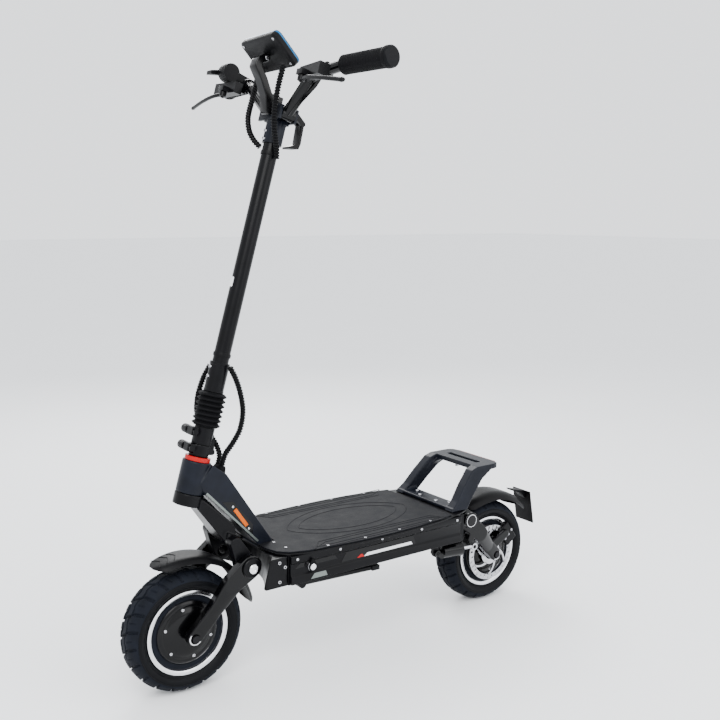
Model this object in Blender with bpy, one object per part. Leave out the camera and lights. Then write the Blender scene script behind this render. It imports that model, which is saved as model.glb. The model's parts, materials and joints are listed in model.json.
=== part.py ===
"""An electric kick scooter: hinged stem, folding bars, leading front link, trailing rear arm.

The model stands on z = 0 with +X forward and +Y to the rider's left, in metres.  Everything
hangs from the empty "scooter", which sits midway between the axles.  Pieces that steer hang
from "steering_axis", whose local Z runs up the raked head tube.
"""

import math

import bmesh
import bpy
from mathutils import Matrix, Vector

# Driving dimensions
WHEELBASE = 0.820
TYRE_RADIUS = 0.127
TYRE_HALF_WIDTH = 0.036
RIM_RADIUS = 0.0885
MIDPOINT_X = 0.0175          # wheelbase middle, so that the whole object is centred on x = 0
RAKE = math.radians(16)
HEADSET = Vector((0.366, 0, 0.479))
STEM_RADIUS = 0.0165
STEM_TOP = 0.690
STEM_HEAD_TOP = 0.728
GAP = 0.0003

FRONT_AXLE = (WHEELBASE / 2, TYRE_RADIUS)
REAR_AXLE = (-WHEELBASE / 2, TYRE_RADIUS)
FRONT_PIVOT = (0.293, 0.256)
REAR_PIVOT = (-0.285, 0.250)
DAMPER_FRONT = (-0.182, 0.191)
DAMPER_REAR = (-0.300, 0.182)
DAMPER_Y = 0.098
DAMPER_PIN = 0.0035
LINK_INNER = 0.0662          # swing arms lie between these two distances from the middle plane
LINK_OUTER = 0.084
LINK_CRANK = 0.0210          # how much nearer the middle their axle ends lie
ROTOR_INNER = 0.0405
ROTOR_OUTER = 0.0425
PAD_GAP = 0.0011
SOCKET_INNER = 0.0412
SOCKET_OUTER = 0.0658
PIVOT_SHAFT = 0.010
STEERING_SWEEP = 0.190       # the frame keeps this far from the steering axis near the link pivots

DECK_BOTTOM = 0.213
DECK_REAR = -0.250
DECK_FRONT = 0.226
TRAY_HALF = 0.117
BLOCK_HALF = 0.1165          # the cross block that joins the neck to the tray
NECK_HALF = 0.033
RAIL_OUTER = 0.1263
PLATE_BOTTOM = 0.2763
PLATE_TOP = 0.2803
MAT_TOP = 0.2836
KICK_TOP = 0.3715
KICK_HALF = 0.089
CHARGE_PORT = (0.176, 0.2475, 0.0098)    # x, z and radius

FOLD_PIVOT = (-0.0205, 0.0165)
BAR_KNUCKLE_Y = 0.032
BAR_KNUCKLE_Z = 0.708
BAR_RADIUS = 0.011
LOOM_RADIUS = 0.006


# Looks

def look(name, colour, metallic, roughness):
    made = bpy.data.materials.new(name)
    made.use_nodes = True
    shader = made.node_tree.nodes["Principled BSDF"]
    shader.inputs["Base Color"].default_value = (*colour, 1)
    shader.inputs["Metallic"].default_value = metallic
    shader.inputs["Roughness"].default_value = roughness
    return made


def make_looks():
    return {
        "painted": look("painted", (0.030, 0.033, 0.042), 0.3, 0.38),
        "anodised": look("anodised", (0.020, 0.020, 0.022), 0.6, 0.34),
        "plastic": look("plastic", (0.016, 0.016, 0.018), 0.0, 0.45),
        "rubber": look("rubber", (0.020, 0.020, 0.022), 0.0, 0.80),
        "tyre": look("tyre", (0.018, 0.021, 0.028), 0.0, 0.72),
        "alloy": look("alloy", (0.80, 0.80, 0.82), 1.0, 0.22),
        "steel": look("steel", (0.55, 0.55, 0.56), 1.0, 0.30),
        "red": look("red", (0.65, 0.015, 0.015), 0.2, 0.35),
        "lamp": look("lamp", (0.50, 0.01, 0.01), 0.0, 0.20),
        "cell": look("cell", (0.02, 0.10, 0.30), 0.0, 0.50),
    }


# Shapes, each a bmesh in the frame of its parent empty

def hull(points):
    bm = bmesh.new()
    for point in points:
        bm.verts.new(point)
    made = bmesh.ops.convex_hull(bm, input=bm.verts)
    spare = [item for item in made["geom_interior"] if isinstance(item, bmesh.types.BMVert)]
    bmesh.ops.delete(bm, geom=spare, context="VERTS")
    bmesh.ops.dissolve_limit(bm, angle_limit=0.01, verts=bm.verts, edges=bm.edges)
    return bm


def box(x_low, x_high, y_low, y_high, z_low, z_high):
    return hull([(x, y, z) for x in (x_low, x_high) for y in (y_low, y_high) for z in (z_low, z_high)])


def disc(centre, radius, y_low, y_high, steps=16):
    """Rim points of a disc that faces along Y, at both of its faces."""
    angles = [2 * math.pi * i / steps for i in range(steps)]
    return [
        (centre[0] + radius * math.cos(a), y, centre[1] + radius * math.sin(a))
        for y in (y_low, y_high)
        for a in angles
    ]


def strap(ends, y_low, y_high, steps=16):
    """The convex plate round a chain of (centre, radius) discs."""
    points = []
    for centre, radius in ends:
        points += disc(centre, radius, y_low, y_high, steps)
    return hull(points)


def rod(start, end, radius, steps=14, end_radius=None):
    start, end = Vector(start), Vector(end)
    along = end - start
    bm = bmesh.new()
    placed = Matrix.Translation((start + end) / 2) @ along.to_track_quat("Z", "Y").to_matrix().to_4x4()
    bmesh.ops.create_cone(
        bm, cap_ends=True, segments=steps, radius1=radius, radius2=end_radius or radius,
        depth=along.length, matrix=placed,
    )
    return bm


def prism(outline, low, high, axis):
    """A closed outline pushed along an axis: (x, z) for Y, (x, y) for Z, (y, z) for X."""
    bm = bmesh.new()
    place = {
        "X": lambda u, v, w: (w, u, v),
        "Y": lambda u, v, w: (u, w, v),
        "Z": lambda u, v, w: (u, v, w),
    }[axis]
    face = bm.faces.new([bm.verts.new(place(u, v, low)) for u, v in outline])
    made = bmesh.ops.extrude_face_region(bm, geom=[face])
    moved = [item for item in made["geom"] if isinstance(item, bmesh.types.BMVert)]
    step = Vector(place(0, 0, high)) - Vector(place(0, 0, low))
    bmesh.ops.translate(bm, verts=moved, vec=step)
    bmesh.ops.recalc_face_normals(bm, faces=bm.faces)
    return bm


def turned(profile, steps, axis="Z", centre=(0, 0, 0), phase=0.0, open_ends=False):
    """A (radius, along) profile spun a full turn round an axis through the centre."""
    bm = bmesh.new()
    around = Vector((0, 0, 1)) if axis == "Z" else Vector((0, 1, 0))
    if axis == "Z":
        corners = [Vector((r, 0, h)) for r, h in profile]
    else:
        corners = [Vector((r, h, 0)) for r, h in profile]
    swing = Matrix.Rotation(phase, 4, around)
    verts = [bm.verts.new(swing @ corner + Vector(centre)) for corner in corners]
    last = len(verts) - 1 if open_ends else len(verts)
    edges = [bm.edges.new((verts[i], verts[(i + 1) % len(verts)])) for i in range(last)]
    bmesh.ops.spin(
        bm, geom=verts + edges, cent=centre, axis=around, angle=2 * math.pi, steps=steps,
        use_merge=True,
    )
    bmesh.ops.remove_doubles(bm, verts=bm.verts, dist=1e-6)
    bmesh.ops.recalc_face_normals(bm, faces=bm.faces)
    return bm


def lofted(loops):
    """A skin through loops with the same number of points, closed at both ends."""
    bm = bmesh.new()
    rows = [[bm.verts.new(point) for point in loop] for loop in loops]
    count = len(rows[0])
    for first, second in zip(rows, rows[1:]):
        for i in range(count):
            j = (i + 1) % count
            bm.faces.new((first[i], first[j], second[j], second[i]))
    bm.faces.new(rows[0])
    bm.faces.new(rows[-1])
    bmesh.ops.recalc_face_normals(bm, faces=bm.faces)
    return bm


def merged(shapes):
    """Shapes that don't touch each other, kept in one bmesh as one cutter."""
    whole = bmesh.new()
    for shape in shapes:
        part = bpy.data.meshes.new("part")
        shape.to_mesh(part)
        whole.from_mesh(part)
        bpy.data.meshes.remove(part)
    return whole


# Objects

def empty(name, at, parent=None, tilt=0.0):
    made = bpy.data.objects.new(name, None)
    made.location = at
    made.rotation_euler = (0, tilt, 0)
    made.empty_display_size = 0.03
    made.parent = parent
    bpy.context.collection.objects.link(made)
    return made


def stand(name, shape, parent, at=(0, 0, 0), rotation=(0, 0, 0), surface=None):
    """An object whose origin is at "at" in its parent's frame."""
    mesh = bpy.data.meshes.new(name)
    bmesh.ops.recalc_face_normals(shape, faces=shape.faces)
    shape.to_mesh(mesh)
    shape.free()
    if not any(rotation):
        mesh.transform(Matrix.Translation(-Vector(at)))
    if surface:
        mesh.materials.append(surface)
    mesh.shade_smooth()
    mesh.set_sharp_from_angle(angle=math.radians(35))
    made = bpy.data.objects.new(name, mesh)
    made.location = at
    made.rotation_euler = rotation
    made.parent = parent
    bpy.context.collection.objects.link(made)
    return made


def boolean(target, shape, operation, name):
    """Joins or cuts with a shape in the target's own frame."""
    tool = stand(name, shape, target.parent)
    if any(target.rotation_euler):
        tool.location = target.location
        tool.rotation_euler = target.rotation_euler
    tool.hide_render = True
    tool.display_type = "WIRE"
    step = target.modifiers.new(name, "BOOLEAN")
    step.operation = operation
    step.solver = "EXACT"
    step.object = tool


def solid(name, surface, shape, parent, joined=(), cuts=(), at=(0, 0, 0), rotation=(0, 0, 0)):
    made = stand(name, shape, parent, at, rotation, surface)
    for number, extra in enumerate(joined):
        boolean(made, extra, "UNION", f"{name}_join_{number}")
    for number, tool in enumerate(cuts):
        boolean(made, tool, "DIFFERENCE", f"{name}_cut_{number}")
    return made


def cable(name, surface, route, parent, spacing=0.018):
    """A round cable along a smooth curve through its route."""
    curve = bpy.data.curves.new(name, "CURVE")
    curve.dimensions = "3D"
    curve.bevel_depth = LOOM_RADIUS
    curve.bevel_resolution = 2
    curve.use_fill_caps = True
    curve.materials.append(surface)
    points = smooth_route([Vector(point) for point in route], spacing)
    spline = curve.splines.new("POLY")
    spline.points.add(len(points) - 1)
    for point, place in zip(spline.points, points):
        point.co = (*place, 1)
    made = bpy.data.objects.new(name, curve)
    made.parent = parent
    bpy.context.collection.objects.link(made)


def smooth_route(route, spacing):
    """Points of the Catmull-Rom curve through the route."""
    ends = [2 * route[0] - route[1], *route, 2 * route[-1] - route[-2]]
    points = []
    for before, start, end, after in zip(ends, ends[1:], ends[2:], ends[3:]):
        count = max(1, round((end - start).length / spacing))
        for step in range(count):
            t = step / count
            points.append(
                0.5 * (
                    2 * start + (end - before) * t
                    + (2 * before - 5 * start + 4 * end - after) * t ** 2
                    + (3 * start - before - 3 * end + after) * t ** 3
                )
            )
    return points + [route[-1]]


# Frame and deck

def deck_outline(inset, rear):
    """Half-widths of the footboard along its length, closed by mirroring."""
    rear_half = 0.105 if rear < -0.25 else 0.124
    half = [(rear, rear_half), (-0.234, 0.119), (-0.170, 0.132), (-0.095, 0.141), (-0.020, 0.144),
            (0.060, 0.142), (0.130, 0.136), (0.185, 0.129), (0.222, 0.117), (0.243, 0.098),
            (0.252, 0.070), (0.2535, 0.046)]
    half = half[:1] + [(x, y) for x, y in half[1:] if x > rear + 0.01]
    half = [(x - inset * (x > 0.2), y - inset) for x, y in half]
    return half + [(x, -y) for x, y in reversed(half)]


def make_frame(looks, scooter, steering):
    head_tube = turned([(0.0215, -0.0725), (0.0295, -0.0725), (0.0295, -0.0065), (0.0215, -0.0065)], 32)
    neck = prism(
        [(0.3480, 0.4665), (0.3185, 0.4435), (0.2120, 0.2810), (0.2120, PLATE_BOTTOM + GAP),
         (DECK_FRONT + 2 * GAP, PLATE_BOTTOM + GAP), (DECK_FRONT + 2 * GAP, 0.2500), (0.250, 0.2500),
         (0.2500, 0.2815), (0.3270, 0.3705), (0.3715, 0.4160), (0.3760, 0.4340)],
        -NECK_HALF, NECK_HALF, "Y",
    )
    cross_block = box(DECK_FRONT + GAP, 0.279, -BLOCK_HALF, BLOCK_HALF, DECK_BOTTOM, 0.2755)
    frame = stand("main_frame", neck, scooter, surface=looks["painted"])
    boolean(frame, cross_block, "UNION", "cross_block")
    tube = stand("head_tube", head_tube, steering)
    core = stand("head_bore", rod((0, 0, -0.10), (0, 0, 0.03), 0.0214, 32), steering)
    sweep = stand("steering_sweep", rod((0, 0, -0.33), (0, 0, -0.165), STEERING_SWEEP, 64), steering)
    for tool, operation in ((core, "DIFFERENCE"), (tube, "UNION"), (sweep, "DIFFERENCE")):
        tool.hide_render = True
        tool.display_type = "WIRE"
        step = frame.modifiers.new(tool.name, "BOOLEAN")
        step.operation = operation
        step.solver = "EXACT"
        step.object = tool
    for name, low in (("upper_bearing", -0.0225), ("lower_bearing", -0.0705)):
        ring = [(0.0158, low), (0.0211, low), (0.0211, low + 0.014), (0.0158, low + 0.014)]
        solid(name, looks["steel"], turned(ring, 24), steering)


def make_deck(looks, scooter):
    wall = 0.004
    tray = box(DECK_REAR, DECK_FRONT, -TRAY_HALF, TRAY_HALF, DECK_BOTTOM, PLATE_BOTTOM - GAP)
    hollow = box(
        DECK_REAR + 0.008, DECK_FRONT - wall, wall - TRAY_HALF, TRAY_HALF - wall,
        DECK_BOTTOM + wall, 0.300,
    )
    ears = []
    for side in (-1, 1):
        y_low, y_high = sorted((side * SOCKET_INNER, side * SOCKET_OUTER))
        ears.append(strap([(REAR_PIVOT, 0.024), ((-0.240, 0.245), 0.030)], y_low, y_high))
    lug_x, lug_z = DAMPER_FRONT
    damper_lug = strap([(DAMPER_FRONT, 0.010), ((lug_x, 0.220), 0.014)], DAMPER_Y - 0.004, DAMPER_Y + 0.004)
    pin = rod((lug_x, DAMPER_Y - 0.010, lug_z), (lug_x, DAMPER_Y + 0.010, lug_z), DAMPER_PIN)
    pivot_x, pivot_z = REAR_PIVOT
    bore = rod((pivot_x, -0.09, pivot_z), (pivot_x, 0.09, pivot_z), PIVOT_SHAFT + 0.0004, 20)
    solid("deck_tray", looks["anodised"], tray, scooter, [*ears, damper_lug, pin], [hollow, bore])

    neck_notch = box(0.2115, 0.30, -0.0334, 0.0334, 0.27, 0.29)
    plate = prism(deck_outline(0.0, -0.268), PLATE_BOTTOM, PLATE_TOP, "Z")
    solid("deck_plate", looks["anodised"], plate, scooter, cuts=[neck_notch])
    neck_notch = box(0.2105, 0.30, -0.0344, 0.0344, 0.27, 0.29)
    mat = prism(deck_outline(0.002, -0.2085), PLATE_TOP + GAP, MAT_TOP, "Z")
    solid("deck_mat", looks["rubber"], mat, scooter, cuts=[neck_notch])

    inner, outer, groove = TRAY_HALF + GAP, RAIL_OUTER, RAIL_OUTER - 0.004
    section = [(inner, 0.2155), (outer, 0.2155), (outer, 0.232), (groove, 0.236), (groove, 0.258),
               (outer, 0.262), (outer, 0.2757), (inner, 0.2757)]
    for name, side in (("rail_left", 1), ("rail_right", -1)):
        solid(name, looks["anodised"],
              prism([(side * y, z) for y, z in section], -0.235, 0.224, "X"), scooter)

    solid("battery_pack", looks["cell"], box(-0.215, 0.205, -0.108, 0.108, 0.2175, 0.268), scooter)

    port_x, port_z, port_radius = CHARGE_PORT
    base, face = RAIL_OUTER - 0.0037, RAIL_OUTER + 0.003
    port = [(0.0055, base), (port_radius, base), (port_radius, face), (0.0055, face)]
    solid("charge_port", looks["steel"], turned(port, 20, "Y", (port_x, 0, port_z)), scooter)
    cap_y = face + GAP
    cap_thick = 0.003
    hinge_z = port_z + 0.015
    cap = strap([((port_x, port_z), port_radius), ((port_x, hinge_z), 0.003)], cap_y, cap_y + cap_thick)
    solid("charge_cap", looks["rubber"], cap, scooter, at=(port_x, cap_y + cap_thick / 2, hinge_z))


def make_kickplate(looks, scooter):
    rear = -0.390
    front = -0.320
    corner = 0.020
    leg_width = 0.026
    arc = [(rear + corner - corner * math.sin(a), KICK_HALF - corner + corner * math.cos(a))
           for a in (0, math.pi / 6, math.pi / 3, math.pi / 2)]
    half = [(front, KICK_HALF)] + arc
    outline = half + [(x, -y) for x, y in reversed(half)]
    top = prism(outline, KICK_TOP - 0.012, KICK_TOP, "Z")
    foot = PLATE_TOP + GAP
    side_view = [(-0.318, KICK_TOP), (-0.300, 0.3655), (-0.270, 0.334), (-0.244, 0.302), (-0.220, foot),
                 (-0.270, foot), (-0.297, 0.312), (-0.327, 0.342), (-0.360, 0.3605), (-0.360, KICK_TOP)]
    legs = []
    for side in (-1, 1):
        leg = prism(side_view, 0, leg_width, "Y")
        for vert in leg.verts:
            splay = 0.20 * (KICK_TOP - vert.co.z)
            vert.co.y = side * (vert.co.y + KICK_HALF - leg_width - 0.0002 + splay)
        legs.append(leg)
    base = box(-0.266, -0.226, -0.105, 0.105, foot, 0.2885)
    slot = box(-0.3580, -0.3445, -0.054, 0.054, 0.34, 0.40)
    solid("kickplate", looks["painted"], top, scooter, [*legs, base], [slot])
    solid("tail_light", looks["lamp"], box(rear - 0.0045, rear - GAP, -0.066, 0.066, 0.3605, 0.3700), scooter)


def fender_loops(axle, start, end, radius, spread, steps, half_width, lip):
    """Cross-sections of a curved guard from one angle to another about an axle."""
    thick = 0.003
    outer = [(-half_width, -lip), (-half_width, -0.006), (-0.62 * half_width, 0.0), (0.62 * half_width, 0.0),
             (half_width, -0.006), (half_width, -lip)]
    inner = [(half_width - thick, -lip), (half_width - thick, -0.0075), (0.60 * half_width, -thick),
             (-0.60 * half_width, -thick), (thick - half_width, -0.0075), (thick - half_width, -lip)]
    loops = []
    for step in range(steps + 1):
        share = step / steps
        angle = start + (end - start) * share
        edge = radius + spread * share ** 2
        taper = 1 - 0.35 * max(0.0, abs(2 * share - 1) - 0.6) / 0.4
        loops.append([
            (axle[0] + (edge + rise) * math.cos(angle), y * taper, axle[1] + (edge + rise) * math.sin(angle))
            for y, rise in outer + inner
        ])
    return loops


def make_rear_guard(looks, scooter):
    guard = fender_loops(REAR_AXLE, math.radians(58), math.radians(148), 0.148, 0.018, 10, 0.046, 0.018)
    solid("rear_fender", looks["plastic"], lofted(guard), scooter)
    panel = prism(
        [(-0.5545, 0.2545), (-0.5695, 0.169), (-0.5725, 0.169), (-0.5575, 0.2545)], -0.030, 0.030, "Y",
    )
    bracket = hull([(x, y, z) for y in (-0.011, 0.011) for x, z in (
        (-0.5560, 0.2535), (-0.5570, 0.2440), (-0.5120, 0.2640), (-0.5140, 0.2600))])
    foot = hull([(x, y, z) for y in (-0.011, 0.011) for x, z in (
        (-0.5560, 0.2440), (-0.5580, 0.2330), (-0.5420, 0.2530), (-0.5440, 0.2490))])
    solid("plate_holder", looks["plastic"], panel, scooter, [bracket, foot])


def make_kickstand(looks, scooter):
    pivot = (0.186, 0.098, 0.2035)
    leg = rod(pivot, (-0.004, 0.098, 0.1970), 0.0062, 12)
    boss = strap([((pivot[0], pivot[2]), 0.0085)], 0.088, 0.108, 16)
    foot = hull([(x, y, z) for x in (-0.014, 0.006) for y in (0.089, 0.107) for z in (0.1920, 0.2020)])
    solid("kickstand", looks["anodised"], leg, scooter, [boss, foot], at=pivot)


# Wheels and suspension

def make_wheel(looks, name, axle, parent, rotor_side):
    centre = (axle[0], 0, axle[1])
    half = [(RIM_RADIUS, 0.030), (0.0790, 0.030), (0.0765, 0.021), (0.0690, 0.021), (0.0655, 0.0255),
            (0.0400, 0.0325), (0.0105, 0.0340), (0.0105, 0.0300), (0.0380, 0.0290), (0.0640, 0.0190)]
    well = [(RIM_RADIUS, -0.0270), (0.0800, -0.0240), (0.0800, 0.0240), (RIM_RADIUS, 0.0270)]
    profile = half + [(r, -y) for r, y in reversed(half)] + well
    solid(f"{name}_rim", looks["alloy"], turned(profile, 26, "Y", centre), parent, at=centre)

    steps = 32
    crown = [(0.0804, 0.0233), (0.0888, 0.0264), (0.0935, 0.0305), (0.104, TYRE_HALF_WIDTH),
             (0.1130, 0.0345), (0.1195, 0.0290), (0.1245, 0.0215), (TYRE_RADIUS, 0.0120)]
    profile = crown + [(r, -y) for r, y in reversed(crown)]
    tyre = turned(profile, steps, "Y", centre, math.pi / 2 + math.pi / steps)
    solid(f"{name}_tyre", looks["tyre"], tyre, parent, at=centre)

    side = rotor_side
    hat = [(0.0180, 0.0347), (0.0240, 0.0347), (0.0240, ROTOR_INNER), (0.0700, ROTOR_INNER),
           (0.0700, ROTOR_OUTER), (0.0180, ROTOR_OUTER)]
    rotor = turned([(r, side * y) for r, y in hat], 30, "Y", centre)
    windows = []
    for number in range(6):
        angle = 2 * math.pi * number / 6
        middle = (axle[0] + 0.040 * math.cos(angle), axle[1] + 0.040 * math.sin(angle))
        windows.append(strap([(middle, 0.0105)], *sorted((0.038 * side, 0.045 * side)), 8))
    solid(f"{name}_rotor", looks["steel"], rotor, parent, cuts=[merged(windows)], at=centre)


def make_motor(looks, name, axle, parent, at):
    x, z = axle
    half = [(0.0600, 0.0150), (0.0220, 0.0150), (0.0220, 0.0180), (0.0080, 0.0180), (0.0080, 0.0685),
            (0.0, 0.0685)]
    profile = [(r, -y) for r, y in reversed(half)] + half
    stator = turned(profile, 20, "Y", (x, 0, z), open_ends=True)
    solid(f"{name}_motor", looks["steel"], stator, parent, at=at)


def make_caliper(looks, name, axle, angle, parent, side, at):
    """A block that straddles the rotor's edge, in its own frame, then swung round the axle."""
    body = hull([(x, side * y, z) for x in (0.048, 0.082) for y in (0.0345, 0.0495)
                 for z in (-0.026, 0.026)])
    y_low, y_high = sorted((side * (ROTOR_INNER - PAD_GAP), side * (ROTOR_OUTER + PAD_GAP)))
    slot = box(0.0, 0.0730, y_low, y_high, -0.05, 0.05)
    swing = Matrix.Translation((axle[0], 0, axle[1])) @ Matrix.Rotation(-angle, 4, "Y")
    for shape in (body, slot):
        bmesh.ops.transform(shape, matrix=swing, verts=shape.verts)
    solid(f"{name}_caliper", looks["anodised"], body, parent, cuts=[slot], at=at)


def link(looks, name, side, pivot, chain, axle, parent, at, extra=()):
    """A swing arm through (centre, radius, share of the crank), with a stub shaft and a bored dropout."""
    plates = []
    for ends in zip(chain, chain[1:]):
        points = []
        for centre, radius, share in ends:
            inwards = share * LINK_CRANK
            points += disc(centre, radius, side * (LINK_INNER - inwards), side * (LINK_OUTER - inwards))
        plates.append(hull(points))

    def crosswise(centre, start, end, radius, steps):
        return rod((centre[0], side * start, centre[1]), (centre[0], side * end, centre[1]), radius, steps)

    stub = crosswise(pivot, SOCKET_INNER + 0.001, LINK_INNER + 0.004, PIVOT_SHAFT, 20)
    nut = crosswise(pivot, LINK_OUTER - 0.002, LINK_OUTER + 0.007, 0.0115, 6)
    hole = crosswise(axle, 0.04, 0.09, 0.0083, 16)
    solid(name, looks["anodised"], plates[0], parent, [*plates[1:], stub, nut, *extra], [hole], at=at)


def caliper_tab(side, on_arm, on_caliper):
    """The plate on an arm that the caliper bolts to."""
    return strap([(on_arm, 0.012), (on_caliper, 0.010)], *sorted((side * 0.0499, side * 0.0590)))


def make_front_suspension(looks, scooter):
    at = (FRONT_PIVOT[0], 0, FRONT_PIVOT[1])
    chain = [(FRONT_PIVOT, 0.0245, 0), ((0.332, 0.230), 0.0205, 0), ((0.366, 0.178), 0.0150, 0.7),
             (FRONT_AXLE, 0.0160, 1)]
    tab = caliper_tab(-1, (0.388, 0.148), (0.352, 0.126))
    link(looks, "front_arm_left", 1, FRONT_PIVOT, chain, FRONT_AXLE, scooter, at)
    link(looks, "front_arm_right", -1, FRONT_PIVOT, chain, FRONT_AXLE, scooter, at, [tab])
    make_motor(looks, "front", FRONT_AXLE, scooter, at)
    make_caliper(looks, "front", FRONT_AXLE, math.radians(185), scooter, -1, at)
    make_wheel(looks, "front", FRONT_AXLE, scooter, -1)


def make_rear_suspension(looks, scooter):
    at = (REAR_PIVOT[0], 0, REAR_PIVOT[1])
    chain = [(REAR_PIVOT, 0.0225, 0), ((-0.338, 0.202), 0.0195, 0), ((-0.376, 0.160), 0.0160, 0.7),
             (REAR_AXLE, 0.0160, 1)]
    tab = caliper_tab(1, (-0.395, 0.145), (-0.447, 0.172))
    damper_tab = strap([((-0.318, 0.215), 0.012), (DAMPER_REAR, 0.009)], LINK_INNER, LINK_OUTER)
    damper_pin = rod((DAMPER_REAR[0], LINK_OUTER - 0.002, DAMPER_REAR[1]),
                     (DAMPER_REAR[0], DAMPER_Y + 0.0085, DAMPER_REAR[1]), DAMPER_PIN)
    left_only = [tab, damper_tab, damper_pin]
    link(looks, "rear_arm_left", 1, REAR_PIVOT, chain, REAR_AXLE, scooter, at, left_only)
    link(looks, "rear_arm_right", -1, REAR_PIVOT, chain, REAR_AXLE, scooter, at)
    make_motor(looks, "rear", REAR_AXLE, scooter, at)
    make_caliper(looks, "rear", REAR_AXLE, math.radians(143), scooter, 1, at)
    make_wheel(looks, "rear", REAR_AXLE, scooter, 1)


def make_damper(looks, scooter):
    """A cylinder on the deck's lug and a rod on the rear arm's pin, both eyes with clearance."""
    front = Vector((DAMPER_FRONT[0], DAMPER_Y, DAMPER_FRONT[1]))
    rear = Vector((DAMPER_REAR[0], DAMPER_Y, DAMPER_REAR[1]))
    along = (rear - front).normalized()
    tube = rod(front + 0.016 * along, front + 0.076 * along, 0.0160, 20)
    fork = [rod(front + Vector((0, y, 0)), front + 0.024 * along + Vector((0, y, 0)), 0.0028, 12)
            for y in (-0.0072, 0.0072)]
    eyes = [strap([(DAMPER_FRONT, 0.0075)], DAMPER_Y + y - 0.0025, DAMPER_Y + y + 0.0025, 16)
            for y in (-0.0072, 0.0072)]
    pin_hole = rod(front + Vector((0, -0.02, 0)), front + Vector((0, 0.02, 0)), 0.0039, 16)
    rod_bore = rod(front + 0.022 * along, front + 0.09 * along, 0.0046, 16)
    solid("damper_body", looks["anodised"], tube, scooter, [*fork, *eyes], [pin_hole, rod_bore], at=front)
    shaft = rod(front + 0.030 * along, rear - 0.006 * along, 0.0042, 16)
    eye = strap([(DAMPER_REAR, 0.0085)], DAMPER_Y - 0.005, DAMPER_Y + 0.005, 20)
    open_hole = rod(rear + Vector((0, -0.02, 0)), rear + Vector((0, 0.02, 0)), 0.0048, 16)
    solid("damper_rod", looks["steel"], shaft, scooter, [eye], [open_hole], at=front)


# Steering side

def make_yoke(looks, steering):
    steerer = rod((0, 0, -0.0950), (0, 0, 0.0240), 0.0155, 24)
    crown = rod((0, 0, -0.0975), (0, 0, -0.0729), 0.030, 32)
    beam = hull([(x, side * y, z) for side in (-1, 1) for x, y, z in (
        (-0.010, 0.024, -0.0975), (-0.014, 0.024, -0.0785), (-0.028, 0.022, -0.0785),
        (-0.100, 0.038, -0.1230), (-0.094, 0.036, -0.1640), (-0.108, 0.040, -0.1500))])
    socket = (-0.1317, -0.1943)
    legs = []
    holes = []
    for side in (-1, 1):
        y_low, y_high = sorted((side * SOCKET_INNER, side * SOCKET_OUTER))
        legs.append(strap([(socket, 0.0215), ((-0.096, -0.153), 0.0125)], y_low, y_high))
        holes.append(rod((socket[0], side * 0.035, socket[1]), (socket[0], side * 0.07, socket[1]),
                         PIVOT_SHAFT + 0.0004, 20))
    bridge = hull([(x, y, z) for y in (-0.044, 0.044) for x, z in (
        (-0.084, -0.138), (-0.086, -0.158), (-0.104, -0.142), (-0.106, -0.168))])
    base = turned([(0.0, 0.0030), (0.0205, 0.0030), (0.0205, 0.0278), (0.0, 0.0278)], 28, open_ends=True)
    tongue_notch = box(-0.0500, -0.0136, -0.0118, 0.0118, 0.0058, 0.0300)
    lugs = [strap([(FOLD_PIVOT, 0.0065), ((-0.008, 0.0165), 0.0065)], *sorted((side * 0.0120, side * 0.0172)))
            for side in (-1, 1)]
    ear = box(0.014, 0.0325, -0.0115, 0.0115, 0.0095, 0.0268)
    bolt_hole = rod((0.0262, -0.03, 0.0182), (0.0262, 0.03, 0.0182), 0.0033, 12)
    solid("fork_yoke", looks["anodised"], steerer, steering,
          [crown, beam, bridge, *legs, base, *lugs, ear], [*holes, bolt_hole, tongue_notch])
    ring = [(0.0158, -0.0062), (0.0262, -0.0062), (0.0262, 0.0026), (0.0158, 0.0026)]
    solid("headset_ring", looks["red"], turned(ring, 32), steering)


def make_front_guard(looks, scooter):
    guard = fender_loops(FRONT_AXLE, math.radians(66), math.radians(172), 0.158, 0.0, 12, 0.0400, 0.012)
    solid("front_fender", looks["plastic"], lofted(guard), scooter)


def make_knob(looks, name, height, steering):
    at = (0.0262, 0, height)
    shaft = rod((at[0], -0.0220, height), (at[0], 0.0160, height), 0.0029, 12)
    knob = rod((at[0], -0.0345, height), (at[0], -0.0130, height), 0.0092, 16)
    nut = rod((at[0], 0.0128, height), (at[0], 0.0185, height), 0.0062, 6)
    solid(name, looks["anodised"], shaft, steering, [knob, nut], at=at)


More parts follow.
